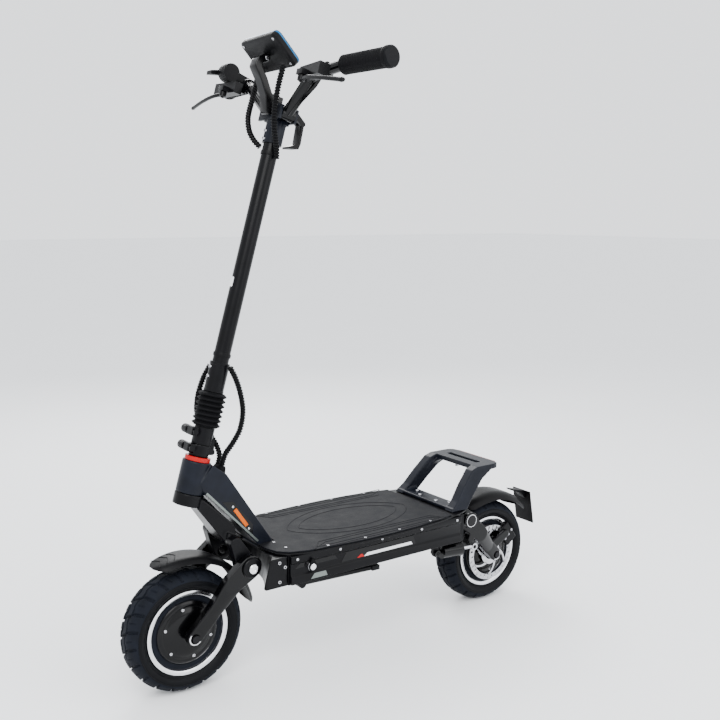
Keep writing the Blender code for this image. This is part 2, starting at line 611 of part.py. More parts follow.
def make_stem(looks, steering):
    pivot = (FOLD_PIVOT[0], 0, FOLD_PIVOT[1])
    bore = STEM_RADIUS + GAP
    collar = turned([(bore, 0.0310), (0.0205, 0.0310), (0.0205, 0.0625), (bore, 0.0625)], 28)
    floor = turned([(0.0, 0.0284), (0.0205, 0.0284), (0.0205, 0.0330), (0.0, 0.0330)], 28, open_ends=True)
    tongue = strap([(FOLD_PIVOT, 0.0062), ((-0.0180, 0.0380), 0.0050)], -0.0113, 0.0113)
    ear = box(0.0185, 0.0325, -0.0115, 0.0115, 0.0430, 0.0600)
    bolt_hole = rod((0.0262, -0.03, 0.0515), (0.0262, 0.03, 0.0515), 0.0033, 12)
    tube_seat = rod((0, 0, 0.0331), (0, 0, 0.0800), bore, 24)
    solid("clamp_collar", looks["anodised"], collar, steering, [floor, tongue, ear],
          [bolt_hole, tube_seat], at=pivot)
    make_knob(looks, "clamp_knob_upper", 0.0515, steering)
    make_knob(looks, "clamp_knob_lower", 0.0182, steering)

    folds = 7
    low, high = 0.0645, 0.1345
    pitch = (high - low) / folds
    outer = []
    for fold in range(folds):
        start = low + fold * pitch
        outer += [(0.0240, start), (0.0292, start + 0.5 * pitch)]
    outer.append((0.0240, high))
    bellows = turned([(bore, low)] + outer + [(bore, high)], 16)
    solid("bellows", looks["rubber"], bellows, steering, at=pivot)

    sleeve = turned([(bore, 0.1350), (0.0205, 0.1350), (0.0205, 0.1965), (bore, 0.1965)], 28)
    solid("sleeve", looks["anodised"], sleeve, steering, at=pivot)
    tube = turned([(0.0138, 0.0335), (STEM_RADIUS, 0.0335), (STEM_RADIUS, STEM_TOP), (0.0138, STEM_TOP)], 24)
    solid("stem_tube", looks["anodised"], tube, steering, at=pivot)

    cap = turned([(bore, 0.648), (0.0200, 0.648), (0.0200, 0.695), (bore, 0.695)], 28)
    block = box(-0.0185, 0.0185, -0.0185, 0.0185, STEM_TOP + GAP, STEM_HEAD_TOP)
    ears = [box(*sorted((side * 0.0155, side * 0.0205)), -0.042, 0.042, 0.6940, 0.7220) for side in (-1, 1)]
    hook_mount = box(-0.0400, -0.0180, -0.0060, 0.0060, 0.7120, 0.7260)
    hook_pin = rod((-0.0345, -0.018, 0.7190), (-0.0345, 0.018, 0.7190), 0.0030, 12)
    solid("stem_head", looks["painted"], cap, steering, [block, *ears, hook_mount, hook_pin], at=pivot)
    make_hook(looks, steering)


def make_hook(looks, steering):
    """A loop that drops through the kickplate's slot when the stem lies folded."""
    at = (-0.0345, 0, 0.7190)
    cheeks = []
    for side in (-1, 1):
        y_low, y_high = sorted((side * 0.0065, side * 0.0125))
        cheeks.append(strap([((at[0], at[2]), 0.0060), ((-0.0540, 0.7080), 0.0050)], y_low, y_high))
    back = hull([(x, y, z) for y in (-0.0125, 0.0125) for x, z in (
        (-0.0500, 0.7110), (-0.0560, 0.7110), (-0.0585, 0.6660), (-0.0535, 0.6660))])
    toe = hull([(x, y, z) for y in (-0.0125, 0.0125) for x, z in (
        (-0.0585, 0.6680), (-0.0560, 0.6560), (-0.0330, 0.6500), (-0.0330, 0.6545), (-0.0520, 0.6660))])
    hole = rod((at[0], -0.03, at[2]), (at[0], 0.03, at[2]), 0.0034, 12)
    solid("latch_hook", looks["anodised"], back, steering, [*cheeks, toe], [hole], at=at)


def make_display(looks, steering):
    lean = math.radians(-31.3)
    centre = Vector((0.0515, 0, 0.8200))
    chain = [(0.0290, 0.7080), (0.0380, 0.7380), (0.0560, 0.7630), (0.0745, 0.7830), (0.0725, 0.7950),
             (0.0605, 0.8045)]
    parts = [strap([(a, 0.0078), (b, 0.0078)], -0.013, 0.013, 12) for a, b in zip(chain, chain[1:])]
    foot = box(0.004, 0.034, -0.013, 0.013, STEM_HEAD_TOP + 2 * GAP, 0.7420)
    solid("display_stalk", looks["anodised"], parts[0], steering, [*parts[1:], foot])

    half_x, half_y, half_z, corner = 0.038, 0.069, 0.009, 0.012
    outline = [(half_x, half_y - corner), (half_x - corner, half_y), (corner - half_x, half_y),
               (-half_x, half_y - corner), (-half_x, corner - half_y), (corner - half_x, -half_y),
               (half_x - corner, -half_y), (half_x, corner - half_y)]
    housing = prism(outline, -half_z, half_z, "Z")
    pocket = rod((-0.030, 0.040, 0.0050), (-0.030, 0.040, 0.020), 0.0054, 16)
    solid("display_housing", looks["plastic"], housing, steering, cuts=[pocket], at=centre,
          rotation=(0, lean, 0))
    button = rod((-0.030, 0.040, 0.0066), (-0.030, 0.040, 0.0105), 0.0050, 16)
    solid("display_button", looks["rubber"], button, steering, at=centre, rotation=(0, lean, 0))


def make_bar(looks, name, side, steering):
    at = (0, side * BAR_KNUCKLE_Y, BAR_KNUCKLE_Z)
    barrel = rod((-0.0150, at[1], at[2]), (0.0150, at[1], at[2]), 0.0125, 20)
    route = [(0.0, 0.0355, 0.7120), (0.012, 0.110, 0.7670), (0.010, 0.132, 0.7780), (-0.006, 0.185, 0.7925),
             (-0.0262, 0.303, 0.8016)]
    route = [Vector((x, side * y, z)) for x, y, z in route]
    tubes = [rod(route[0], route[1], 0.0125, 16)]
    tubes += [rod(a, b, BAR_RADIUS, 16) for a, b in zip(route[1:], route[2:])]
    elbows = []
    for place, radius in zip(route[1:4], (0.0125, BAR_RADIUS, BAR_RADIUS)):
        ball = bmesh.new()
        placed = Matrix.Translation(place)
        bmesh.ops.create_icosphere(ball, subdivisions=2, radius=radius * 1.02, matrix=placed)
        elbows.append(ball)
    brace = [(0.042, 0.7050), (0.050, 0.7250), (0.100, 0.7640), (0.130, 0.7800), (0.130, 0.7700),
             (0.118, 0.7560)]
    web = hull([(x, side * y, z) for x in (-0.002, 0.005) for y, z in brace])
    solid(f"bar_{name}", looks["anodised"], barrel, steering, [*tubes, *elbows, web], at=at)

    start, end = route[3], route[4]
    along = (end - start).normalized()
    grip = rod(start + 0.006 * along, end + 0.006 * along, 0.0182, 24, 0.0190)
    flare = rod(end - 0.006 * along, end + 0.0080 * along, 0.0205, 24, 0.0180)
    bore = rod(start - 0.02 * along, end + GAP * along, BAR_RADIUS + 0.0004, 20)
    solid(f"grip_{name}", looks["rubber"], grip, steering, [flare], [bore], at=at)
    return route


def on_bar(y, side):
    """The point of the bar's inner straight at a distance from the middle plane."""
    share = (y - 0.132) / (0.185 - 0.132)
    return Vector((0.010 - 0.016 * share, side * y, 0.7780 + 0.0145 * share))


def make_brake(looks, name, side, steering):
    """A master cylinder clamped to the bar, with its lever."""
    ring = rod(on_bar(0.140, side), on_bar(0.156, side), 0.0155, 20)
    bore = rod(on_bar(0.120, side), on_bar(0.180, side), BAR_RADIUS + 0.0006, 20)
    neck = hull([(x, side * y, z) for x in (0.014, 0.040) for y in (0.141, 0.156) for z in (0.762, 0.776)])
    body = hull([(x, side * y, z) for y, low, high in ((0.126, 0.030, 0.047), (0.206, 0.030, 0.054))
                 for x in (low, high) for z in (0.753, 0.7765)])
    pivot = (0.0560, side * 0.1560, 0.7480)
    ear = hull([(x, side * y, z) for x in (0.036, 0.064) for y in (0.146, 0.166) for z in (0.7535, 0.7640)])
    pin = rod((pivot[0], pivot[1], 0.7400), (pivot[0], pivot[1], 0.7600), 0.0030, 12)
    solid(f"brake_master_{name}", looks["anodised"], ring, steering, [neck, body, ear, pin], [bore])

    hub = rod((pivot[0], pivot[1], 0.7425), (pivot[0], pivot[1], 0.7530), 0.0075, 14)
    hole = rod((pivot[0], pivot[1], 0.7200), (pivot[0], pivot[1], 0.7800), 0.0034, 12)
    blade = [(0.0560, 0.160, 0.7478, 0.0046), (0.0620, 0.190, 0.7440, 0.0045),
             (0.0600, 0.240, 0.7375, 0.0043), (0.0530, 0.297, 0.7300, 0.0050)]
    parts = []
    for (x, y, z, r), (x2, y2, z2, r2) in zip(blade, blade[1:]):
        points = []
        for px, py, pz, radius in ((x, y, z, r), (x2, y2, z2, r2)):
            ball = [(px + radius * dx, side * (py + radius * dy), pz + radius * 0.8 * dz)
                    for dx in (-1, 1) for dy in (-1, 1) for dz in (-1, 1)]
            points += ball
        parts.append(hull(points))
    solid(f"brake_lever_{name}", looks["anodised"], hub, steering, parts, [hole], at=pivot)


def make_throttle(looks, steering):
    """The round finger throttle beside the right grip."""
    centre = (0.0470, 0, 0.7990)
    drum = [(0.0, -0.1840), (0.0190, -0.1840), (0.0190, -0.1560), (0.0, -0.1560)]
    body = turned(drum, 24, "Y", centre, open_ends=True)
    on_grip_side = on_bar(0.178, -1)
    arm = strap([((on_grip_side.x, on_grip_side.z), 0.0160), ((0.034, 0.7990), 0.0120)], -0.1830, -0.1730)
    bore = rod(on_bar(0.150, -1), on_bar(0.205, -1), BAR_RADIUS + 0.0006, 20)
    pin = rod((centre[0], -0.1820, centre[2]), (centre[0], -0.1955, centre[2]), 0.0035, 12)
    solid("throttle_body", looks["plastic"], body, steering, [arm, pin], [bore])
    hub = strap([((centre[0], centre[2]), 0.0110)], -0.1935, -0.1846)
    root = [(x, y, z) for x, z in ((0.055, 0.7930), (0.057, 0.8040)) for y in (-0.1930, -0.1846)]
    tip = [(x, y, z) for x, z in ((0.0800, 0.7870), (0.0810, 0.7950)) for y in (-0.2060, -0.1846)]
    hole = rod((centre[0], -0.21, centre[2]), (centre[0], -0.17, centre[2]), 0.0039, 12)
    pivot = (centre[0], -0.189, centre[2])
    solid("throttle_trigger", looks["plastic"], hub, steering, [hull(root + tip)], [hole], at=pivot)


def make_looms(looks, steering):
    """Spiral-wrapped cables: two from the bars to the stem, two from the sleeve to the neck."""
    routes = {
        "upper_loom_left": [(0.050, 0.066, 0.785), (0.044, 0.053, 0.756), (0.038, 0.045, 0.726),
                            (0.030, 0.040, 0.690), (0.016, 0.034, 0.660), (0.002, 0.027, 0.638),
                            (-0.006, 0.0222, 0.620)],
        "upper_loom_right": [(0.036, -0.062, 0.790), (0.035, -0.058, 0.772), (0.039, -0.052, 0.734),
                             (0.042, -0.046, 0.695), (0.037, -0.038, 0.668), (0.028, -0.028, 0.651),
                             (0.015, -0.018, 0.639)],
        "lower_loom_left": [(-0.010, 0.026, 0.192), (-0.029, 0.029, 0.169), (-0.046, 0.032, 0.140),
                            (-0.058, 0.034, 0.108), (-0.062, 0.031, 0.072), (-0.057, 0.024, 0.042),
                            (-0.052, 0.014, 0.016), (-0.053, 0.0085, -0.010)],
        "lower_loom_right": [(0.006, -0.028, 0.186), (0.011, -0.035, 0.155), (0.010, -0.041, 0.115),
                             (-0.002, -0.044, 0.078), (-0.030, -0.036, 0.050), (-0.047, -0.020, 0.026),
                             (-0.053, -0.010, 0.008), (-0.053, -0.0075, -0.010)],
    }
    for name, route in routes.items():
        cable(name, looks["plastic"], route, steering)


def main():
    for old in list(bpy.data.objects):
        bpy.data.objects.remove(old, do_unlink=True)
    looks = make_looks()
    scooter = empty("scooter", (MIDPOINT_X, 0, 0))
    steering = empty("steering_axis", HEADSET, scooter, -RAKE)
    make_frame(looks, scooter, steering)
    make_deck(looks, scooter)
    make_kickplate(looks, scooter)
    make_rear_guard(looks, scooter)
    make_kickstand(looks, scooter)
    make_front_suspension(looks, scooter)
    make_rear_suspension(looks, scooter)
    make_damper(looks, scooter)
    make_yoke(looks, steering)
    make_front_guard(looks, scooter)
    make_stem(looks, steering)
    make_display(looks, steering)
    for name, side in (("left", 1), ("right", -1)):
        make_bar(looks, name, side, steering)
        make_brake(looks, name, side, steering)
    make_throttle(looks, steering)
    make_looms(looks, steering)


main()
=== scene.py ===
"""The looks of the electric kick scooter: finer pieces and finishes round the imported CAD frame."""

import json
import math

import bmesh
import bpy
from mathutils import Matrix, Vector


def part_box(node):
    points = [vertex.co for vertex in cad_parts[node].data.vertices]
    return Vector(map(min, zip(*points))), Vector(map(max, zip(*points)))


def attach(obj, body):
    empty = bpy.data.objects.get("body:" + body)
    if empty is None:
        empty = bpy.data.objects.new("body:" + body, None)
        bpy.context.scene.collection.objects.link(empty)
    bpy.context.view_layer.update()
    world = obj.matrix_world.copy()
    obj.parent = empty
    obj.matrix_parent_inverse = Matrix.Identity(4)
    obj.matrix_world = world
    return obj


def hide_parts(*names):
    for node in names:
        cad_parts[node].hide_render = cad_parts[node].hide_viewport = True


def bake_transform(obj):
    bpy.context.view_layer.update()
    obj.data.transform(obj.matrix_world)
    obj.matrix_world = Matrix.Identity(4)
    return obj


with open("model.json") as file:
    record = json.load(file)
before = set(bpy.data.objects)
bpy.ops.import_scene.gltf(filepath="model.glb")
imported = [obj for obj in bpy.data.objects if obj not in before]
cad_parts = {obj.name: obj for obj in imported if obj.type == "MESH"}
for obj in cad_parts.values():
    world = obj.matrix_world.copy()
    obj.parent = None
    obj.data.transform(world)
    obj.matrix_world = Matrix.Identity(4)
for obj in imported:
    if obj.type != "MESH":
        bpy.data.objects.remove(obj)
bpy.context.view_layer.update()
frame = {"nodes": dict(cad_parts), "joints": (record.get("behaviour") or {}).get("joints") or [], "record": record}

# Frames of reference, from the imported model

WHEELS = {name: sum(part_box(f"{name}_tyre"), Vector()) / 2 for name in ("front", "rear")}
TYRE_RADIUS = WHEELS["front"].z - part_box("front_tyre")[0].z
JOINTS = {joint["name"]: joint for joint in frame["joints"]}
UP = Vector(JOINTS["steering_turn"]["axis"]).normalized()
LEFT = Vector((0, 1, 0))
AHEAD = LEFT.cross(UP)
HEADSET = Vector(JOINTS["steering_turn"]["pos_m"])
MIDDLE_X = (WHEELS["front"].x + WHEELS["rear"].x) / 2
WELD = 1e-5
SIDES = {1: "left", -1: "right"}
TIP = 1e-4                       # the radius that closes a turned end


def steer(x, y, z):
    """A point given along the raked steering axis, which starts at the head tube's top."""
    return HEADSET + AHEAD * x + LEFT * y + UP * z


# Finishes

def finish(name, colour, metallic, roughness, grain=900.0, depth=0.08, mottle=0.25, patch=35.0, shine=0.5):
    """A surface with fine grain, and slow changes of tone and gloss."""
    made = bpy.data.materials.new(name)
    made.use_nodes = True
    tree = made.node_tree
    shader = tree.nodes["Principled BSDF"]
    shader.inputs["Metallic"].default_value = metallic
    shader.inputs["Specular IOR Level"].default_value = shine
    place = tree.nodes.new("ShaderNodeTexCoord")
    slow = tree.nodes.new("ShaderNodeTexNoise")
    slow.inputs["Scale"].default_value = patch
    slow.inputs["Detail"].default_value = 5
    fine = tree.nodes.new("ShaderNodeTexNoise")
    fine.inputs["Scale"].default_value = grain
    fine.inputs["Detail"].default_value = 3
    tone = tree.nodes.new("ShaderNodeValToRGB")
    tone.color_ramp.elements[0].position = 0.3
    tone.color_ramp.elements[1].position = 0.7
    tone.color_ramp.elements[0].color = (*(c * (1 - mottle) for c in colour), 1)
    tone.color_ramp.elements[1].color = (*(min(1, c * (1 + mottle)) for c in colour), 1)
    gloss = tree.nodes.new("ShaderNodeMapRange")
    gloss.inputs["To Min"].default_value = max(0.02, roughness * 0.82)
    gloss.inputs["To Max"].default_value = min(1.0, roughness * 1.2)
    bump = tree.nodes.new("ShaderNodeBump")
    bump.inputs["Strength"].default_value = depth
    bump.inputs["Distance"].default_value = 0.0006
    for source, socket, target, into in (
        (place, "Object", slow, "Vector"), (place, "Object", fine, "Vector"),
        (slow, "Fac", tone, "Fac"), (slow, "Fac", gloss, "Value"), (fine, "Fac", bump, "Height"),
        (tone, "Color", shader, "Base Color"), (gloss, "Result", shader, "Roughness"),
        (bump, "Normal", shader, "Normal"),
    ):
        tree.links.new(source.outputs[socket], target.inputs[into])
    return made


LOOKS = {
    "painted": finish("painted_satin", (0.0040, 0.0052, 0.0090), 0.0, 0.36, grain=1400, depth=0.05,
                      shine=0.13),
    "anodised": finish("anodised_black", (0.0014, 0.0014, 0.0020), 0.0, 0.30, grain=2200, depth=0.05,
                       shine=0.12),
    "gloss": finish("gloss_black", (0.0009, 0.0009, 0.0012), 0.0, 0.16, grain=500, depth=0.02, shine=0.20),
    "plastic": finish("moulded_plastic", (0.0020, 0.0020, 0.0025), 0.0, 0.40, grain=2600, depth=0.16,
                      shine=0.10),
    "rubber": finish("soft_rubber", (0.0022, 0.0022, 0.0028), 0.0, 0.62, grain=1800, depth=0.2, shine=0.08),
    "mat": finish("footboard_mat", (0.0036, 0.0040, 0.0055), 0.0, 0.60, grain=1500, depth=0.3, shine=0.08),
    "tyre": finish("tyre_rubber", (0.0040, 0.0052, 0.0085), 0.0, 0.66, grain=1300, depth=0.25, mottle=0.3,
                   shine=0.09),
    "wall": finish("tyre_sidewall", (0.0012, 0.0014, 0.0022), 0.0, 0.46, grain=1600, depth=0.1, shine=0.10),
    "alloy": finish("bright_alloy", (0.80, 0.80, 0.82), 1.0, 0.17, grain=900, depth=0.03, mottle=0.06),
    "steel": finish("bolt_steel", (0.50, 0.50, 0.52), 1.0, 0.24, grain=1200, depth=0.05, mottle=0.1),
    "drum": finish("dark_drum", (0.007, 0.007, 0.008), 0.6, 0.16, grain=700, depth=0.03, shine=0.3),
    "red": finish("red_anodised", (0.34, 0.002, 0.002), 0.0, 0.28, grain=1500, depth=0.04, mottle=0.1,
                  shine=0.2),
    "lamp": finish("red_lens", (0.22, 0.003, 0.003), 0.0, 0.14, grain=300, depth=0.1, mottle=0.15, shine=0.4),
    "orange": finish("orange_reflector", (0.52, 0.095, 0.001), 0.0, 0.22, grain=420, depth=0.5, mottle=0.2,
                     shine=0.15),
    "white": finish("white_strip", (0.72, 0.73, 0.74), 0.0, 0.35, grain=800, depth=0.05, mottle=0.05),
    # Pale trim, partly painted highlight: on the neck it stands for the light caught along a plate's lower edge.
    "trim_and_highlight": finish("pale_trim_painted_highlight", (0.14, 0.16, 0.15), 0.7, 0.34, grain=1200, depth=0.05, mottle=0.12),
    "blue": finish("blue_bezel", (0.006, 0.09, 0.22), 0.0, 0.22, grain=900, depth=0.03, mottle=0.2,
                   shine=0.2),
    "glass": finish("dark_glass", (0.004, 0.006, 0.010), 0.0, 0.06, grain=200, depth=0.01, shine=0.6),
    "cell": finish("battery_wrap", (0.02, 0.09, 0.28), 0.0, 0.5, grain=900, depth=0.1),
}


# Shapes

def spun(profile, centre, axis, steps=96, closed=False, relief=None):
    """A (radius, along) profile turned round an axis; relief lowers the radius by angle and place."""
    axis = Vector(axis).normalized()
    side = Vector((0, 0, 1)) if abs(axis.z) < 0.5 else Vector((0, 1, 0))
    side = (side - axis * side.dot(axis)).normalized()
    across = axis.cross(side)
    shape = bmesh.new()
    rings = []
    for radius, along in profile:
        ring = []
        for i in range(steps):
            turn = 2 * math.pi * i / steps
            reach = radius - (relief(turn, radius, along) if relief else 0.0)
            spoke = side * math.cos(turn) + across * math.sin(turn)
            ring.append(shape.verts.new(Vector(centre) + axis * along + spoke * reach))
        rings.append(ring)
    for first, second in zip(rings, rings[1:] + rings[:1] if closed else rings[1:]):
        for i in range(steps):
            j = (i + 1) % steps
            shape.faces.new((first[i], first[j], second[j], second[i]))
    if not closed:
        shape.faces.new(rings[0])
        shape.faces.new(rings[-1])
    bmesh.ops.remove_doubles(shape, verts=shape.verts, dist=1e-6)
    return shape


def smooth_route(route, spacing):
    """Points of the Catmull-Rom curve through the route."""
    route = [Vector(point) for point in route]
    ends = [2 * route[0] - route[1], *route, 2 * route[-1] - route[-2]]
    points = []
    for before, start, end, after in zip(ends, ends[1:], ends[2:], ends[3:]):
        count = max(1, round((end - start).length / spacing))
        for step in range(count):
            t = step / count
            points.append(0.5 * (
                2 * start + (end - before) * t
                + (2 * before - 5 * start + 4 * end - after) * t ** 2
                + (3 * start - before - 3 * end + after) * t ** 3
            ))
    return points + [route[-1]]


def swept(points, radius, sides=20):
    """A round tube along points; radius is a number, or a function of distance, turn and share."""
    shape = bmesh.new()
    whole = sum((b - a).length for a, b in zip(points, points[1:]))
    gone = 0.0
    side = (points[1] - points[0]).orthogonal().normalized()
    rings = []
    for i, point in enumerate(points):
        along = (points[min(i + 1, len(points) - 1)] - points[max(i - 1, 0)]).normalized()
        side = (side - along * side.dot(along)).normalized()
        across = along.cross(side)
        if i:
            gone += (point - points[i - 1]).length
        ring = []
        for k in range(sides):
            turn = 2 * math.pi * k / sides
            reach = radius(gone, turn, gone / whole) if callable(radius) else radius
            ring.append(shape.verts.new(point + (side * math.cos(turn) + across * math.sin(turn)) * reach))
        rings.append(ring)
    for first, second in zip(rings, rings[1:]):
        for i in range(sides):
            j = (i + 1) % sides
            shape.faces.new((first[i], first[j], second[j], second[i]))
    shape.faces.new(rings[0])
    shape.faces.new(rings[-1])
    return shape


def lofted(loops, closed=False):
    """A skin over a row of loops, capped at both ends, or joined end to end if closed."""
    shape = bmesh.new()
    rows = [[shape.verts.new(point) for point in loop] for loop in loops]
    for first, second in zip(rows, rows[1:] + rows[:1] if closed else rows[1:]):
        for i in range(len(first)):
            j = (i + 1) % len(first)
            shape.faces.new((first[i], first[j], second[j], second[i]))
    if not closed:
        shape.faces.new(rows[0])
        shape.faces.new(rows[-1])
    return shape


def faced(profile, side):
    """A (radius, along) profile turned to face the left side, 1, or the right side, -1."""
    return [(radius, side * along) for radius, along in profile]


def slab(outline, origin, along, across, thickness):
    """A flat outline of (along, across) points in a plane through origin, pushed out by thickness."""
    along = Vector(along).normalized()
    across = Vector(across).normalized()
    out = along.cross(across) * thickness
    low = [Vector(origin) + along * u + across * v for u, v in outline]
    return lofted([low, [point + out for point in low]])


def rounded(half_u, half_v, corner, steps=6):
    """A rectangle with round corners, about its middle."""
    points = []
    for quarter, (su, sv) in enumerate(((1, 1), (-1, 1), (-1, -1), (1, -1))):
        for step in range(steps + 1):
            turn = math.pi / 2 * (quarter + step / steps)
            points.append((su * (half_u - corner) + corner * math.cos(turn),
                           sv * (half_v - corner) + corner * math.sin(turn)))
    return points


def together(shapes):
    """Separate shapes kept in one bmesh."""
    whole = bmesh.new()
    for shape in shapes:
        part = bpy.data.meshes.new("part")
        shape.to_mesh(part)
        shape.free()
        whole.from_mesh(part)
        bpy.data.meshes.remove(part)
    return whole


def bolt(centre, axis, radius, height=0.003):
    """A socket-head bolt that stands on centre."""
    profile = [(radius, -0.001), (radius, 0.75 * height), (0.88 * radius, height), (0.55 * radius, height),
               (0.5 * radius, 0.35 * height), (TIP, 0.35 * height)]
    return spun(profile, centre, axis, steps=24)


def cad_shape(node):
    """The CAD solid's own shape, with its flat faces whole again."""
    shape = bmesh.new()
    shape.from_mesh(frame["nodes"][node].data)
    bmesh.ops.remove_doubles(shape, verts=shape.verts, dist=WELD)
    bmesh.ops.dissolve_limit(shape, angle_limit=math.radians(1), verts=shape.verts, edges=shape.edges)
    return shape


def put(name, shape, surface, body, replaces=(), edge=0.0, angle=28, blend=None):
    """A piece of the object; edge is the radius that its corners are rounded to."""
    mesh = bpy.data.meshes.new(name)
    bmesh.ops.recalc_face_normals(shape, faces=shape.faces)
    shape.to_mesh(mesh)
    shape.free()
    mesh.materials.append(LOOKS[surface])
    mesh.shade_smooth()
    made = bpy.data.objects.new(name, mesh)
    bpy.context.collection.objects.link(made)
    if edge:
        bevel = made.modifiers.new("edges", "BEVEL")
        bevel.width = edge
        bevel.segments = 3
        bevel.limit_method = "ANGLE"
        bevel.angle_limit = math.radians(angle)
        mesh.set_sharp_from_angle(angle=math.radians(50))
    else:
        mesh.set_sharp_from_angle(angle=math.radians(38))
    if blend:
        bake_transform(made)
    else:
        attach(made, body)
    if replaces:
        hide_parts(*replaces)
    return made


def body_of(node):
    return next(name for name, nodes in frame["record"]["behaviour"]["bodies"].items() if node in nodes)


def bake(made):
    """Applies the modifiers to the mesh."""
    bpy.context.view_layer.update()
    done = bpy.data.meshes.new_from_object(made.evaluated_get(bpy.context.evaluated_depsgraph_get()))
    made.modifiers.clear()
    made.data = done
    return done


def cast(name, shape, surface, body, replaces=(), voxel=0.0015, rounds=5):
    """Overlapping closed shapes melted into one casting with soft edges."""
    made = put(name, shape, surface, body)
    melt = made.modifiers.new("melt", "REMESH")
    melt.mode = "VOXEL"
    melt.voxel_size = voxel
    soften = made.modifiers.new("soften", "SMOOTH")
    soften.factor = 0.5
    soften.iterations = rounds
    bake(made).shade_smooth()
    if replaces:
        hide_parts(*replaces)
    return made


def recast(node, surface, voxel=0.0015, rounds=5, extra=()):
    """The CAD solid, with any extra shapes, as a casting with soft edges."""
    shape = together([cad_shape(node), *extra]) if extra else cad_shape(node)
    return cast(f"{node}_cast", shape, surface, body_of(node), [node], voxel, rounds)


def refine(node, surface, edge=0.001, angle=28):
    """The CAD solid again, with rounded edges and a real finish."""
    return put(f"{node}_fine", cad_shape(node), surface, body_of(node), [node], edge, angle)


# Camera, light and floor

def make_camera():
    yaw = math.radians(-125.684)
    pitch = math.radians(-8.944)
    roll = math.radians(0.252)
    view = Vector((math.cos(yaw) * math.cos(pitch), math.sin(yaw) * math.cos(pitch), math.sin(pitch)))
    right = Vector((math.sin(yaw), -math.cos(yaw), 0))
    up = right.cross(view)
    right_rolled = right * math.cos(roll) + up * math.sin(roll)
    up_rolled = up * math.cos(roll) - right * math.sin(roll)
    turned = Matrix((right_rolled, up_rolled, -view)).transposed()
    camera = bpy.data.cameras.new("camera")
    camera.lens = 47.33
    camera.sensor_width = 36
    made = bpy.data.objects.new("camera", camera)
    made.matrix_world = Matrix.Translation((1.1994, 1.6944, 0.9703)) @ turned.to_4x4()
    bpy.context.collection.objects.link(made)
    bpy.context.scene.camera = made


def make_light(name, place, target, size, power):
    light = bpy.data.lights.new(name, "AREA")
    light.size = size
    light.energy = power
    made = bpy.data.objects.new(name, light)
    made.location = place
    made.rotation_euler = (Vector(target) - Vector(place)).to_track_quat("-Z", "Y").to_euler()
    bpy.context.collection.objects.link(made)


def make_studio():
    world = bpy.data.worlds.new("studio")
    world.use_nodes = True
    world.node_tree.nodes["Background"].inputs["Color"].default_value = (0.95, 0.97, 1.0, 1)
    world.node_tree.nodes["Background"].inputs["Strength"].default_value = 1.9
    bpy.context.scene.world = world
    make_light("key", (1.6, 1.8, 2.6), (0.1, 0, 0.5), 1.8, 90)
    make_light("fill", (-1.2, 2.4, 1.6), (0, 0, 0.4), 2.2, 40)
    make_light("rim", (-0.8, -2.2, 2.2), (0.1, 0, 0.6), 1.6, 60)
    floor = finish("pale_floor", (0.90, 0.91, 0.92), 0.0, 0.85, grain=60, depth=0.0, mottle=0.005,
                   patch=2, shine=0.1)
    mesh = bpy.data.meshes.new("floor")
    mesh.from_pydata([(-30, -30, 0), (30, -30, 0), (30, 30, 0), (-30, 30, 0)], [], [(0, 1, 2, 3)])
    mesh.materials.append(floor)
    made = bpy.data.objects.new("floor", mesh)
    bpy.context.collection.objects.link(made)


# Wheels

BLOCKS = 21                      # tread blocks round each side of a tyre
TREAD_DEPTH = 0.0042
GROOVE_PLACE = 0.0095            # how far from the middle the two zigzag grooves run
GROOVE_WAVE = 0.0022
GROOVE_HALF = 0.0016


def tread_depth(turn, across):
    """How deep the tread is cut at an angle round the wheel and a place across it."""
    side = 1 if across > 0 else -1
    reach = abs(across)
    row = BLOCKS * turn / (2 * math.pi) + (0.5 if side > 0 else 0.0)
    zigzag = GROOVE_PLACE + GROOVE_WAVE * math.cos(2 * math.pi * row)
    if reach < zigzag - GROOVE_HALF:
        return TREAD_DEPTH if (BLOCKS * turn / (2 * math.pi) + 0.25 + across * 16) % 1 < 0.12 else 0.0
    if reach < zigzag + GROOVE_HALF:
        return TREAD_DEPTH
    slant = (row + (reach - GROOVE_PLACE) * 10 * side) % 1
    if slant < 0.15:
        return TREAD_DEPTH
    if abs(slant - 0.57) < 0.045 and 0.014 < reach < 0.028:
        return 0.0018
    return 0.0


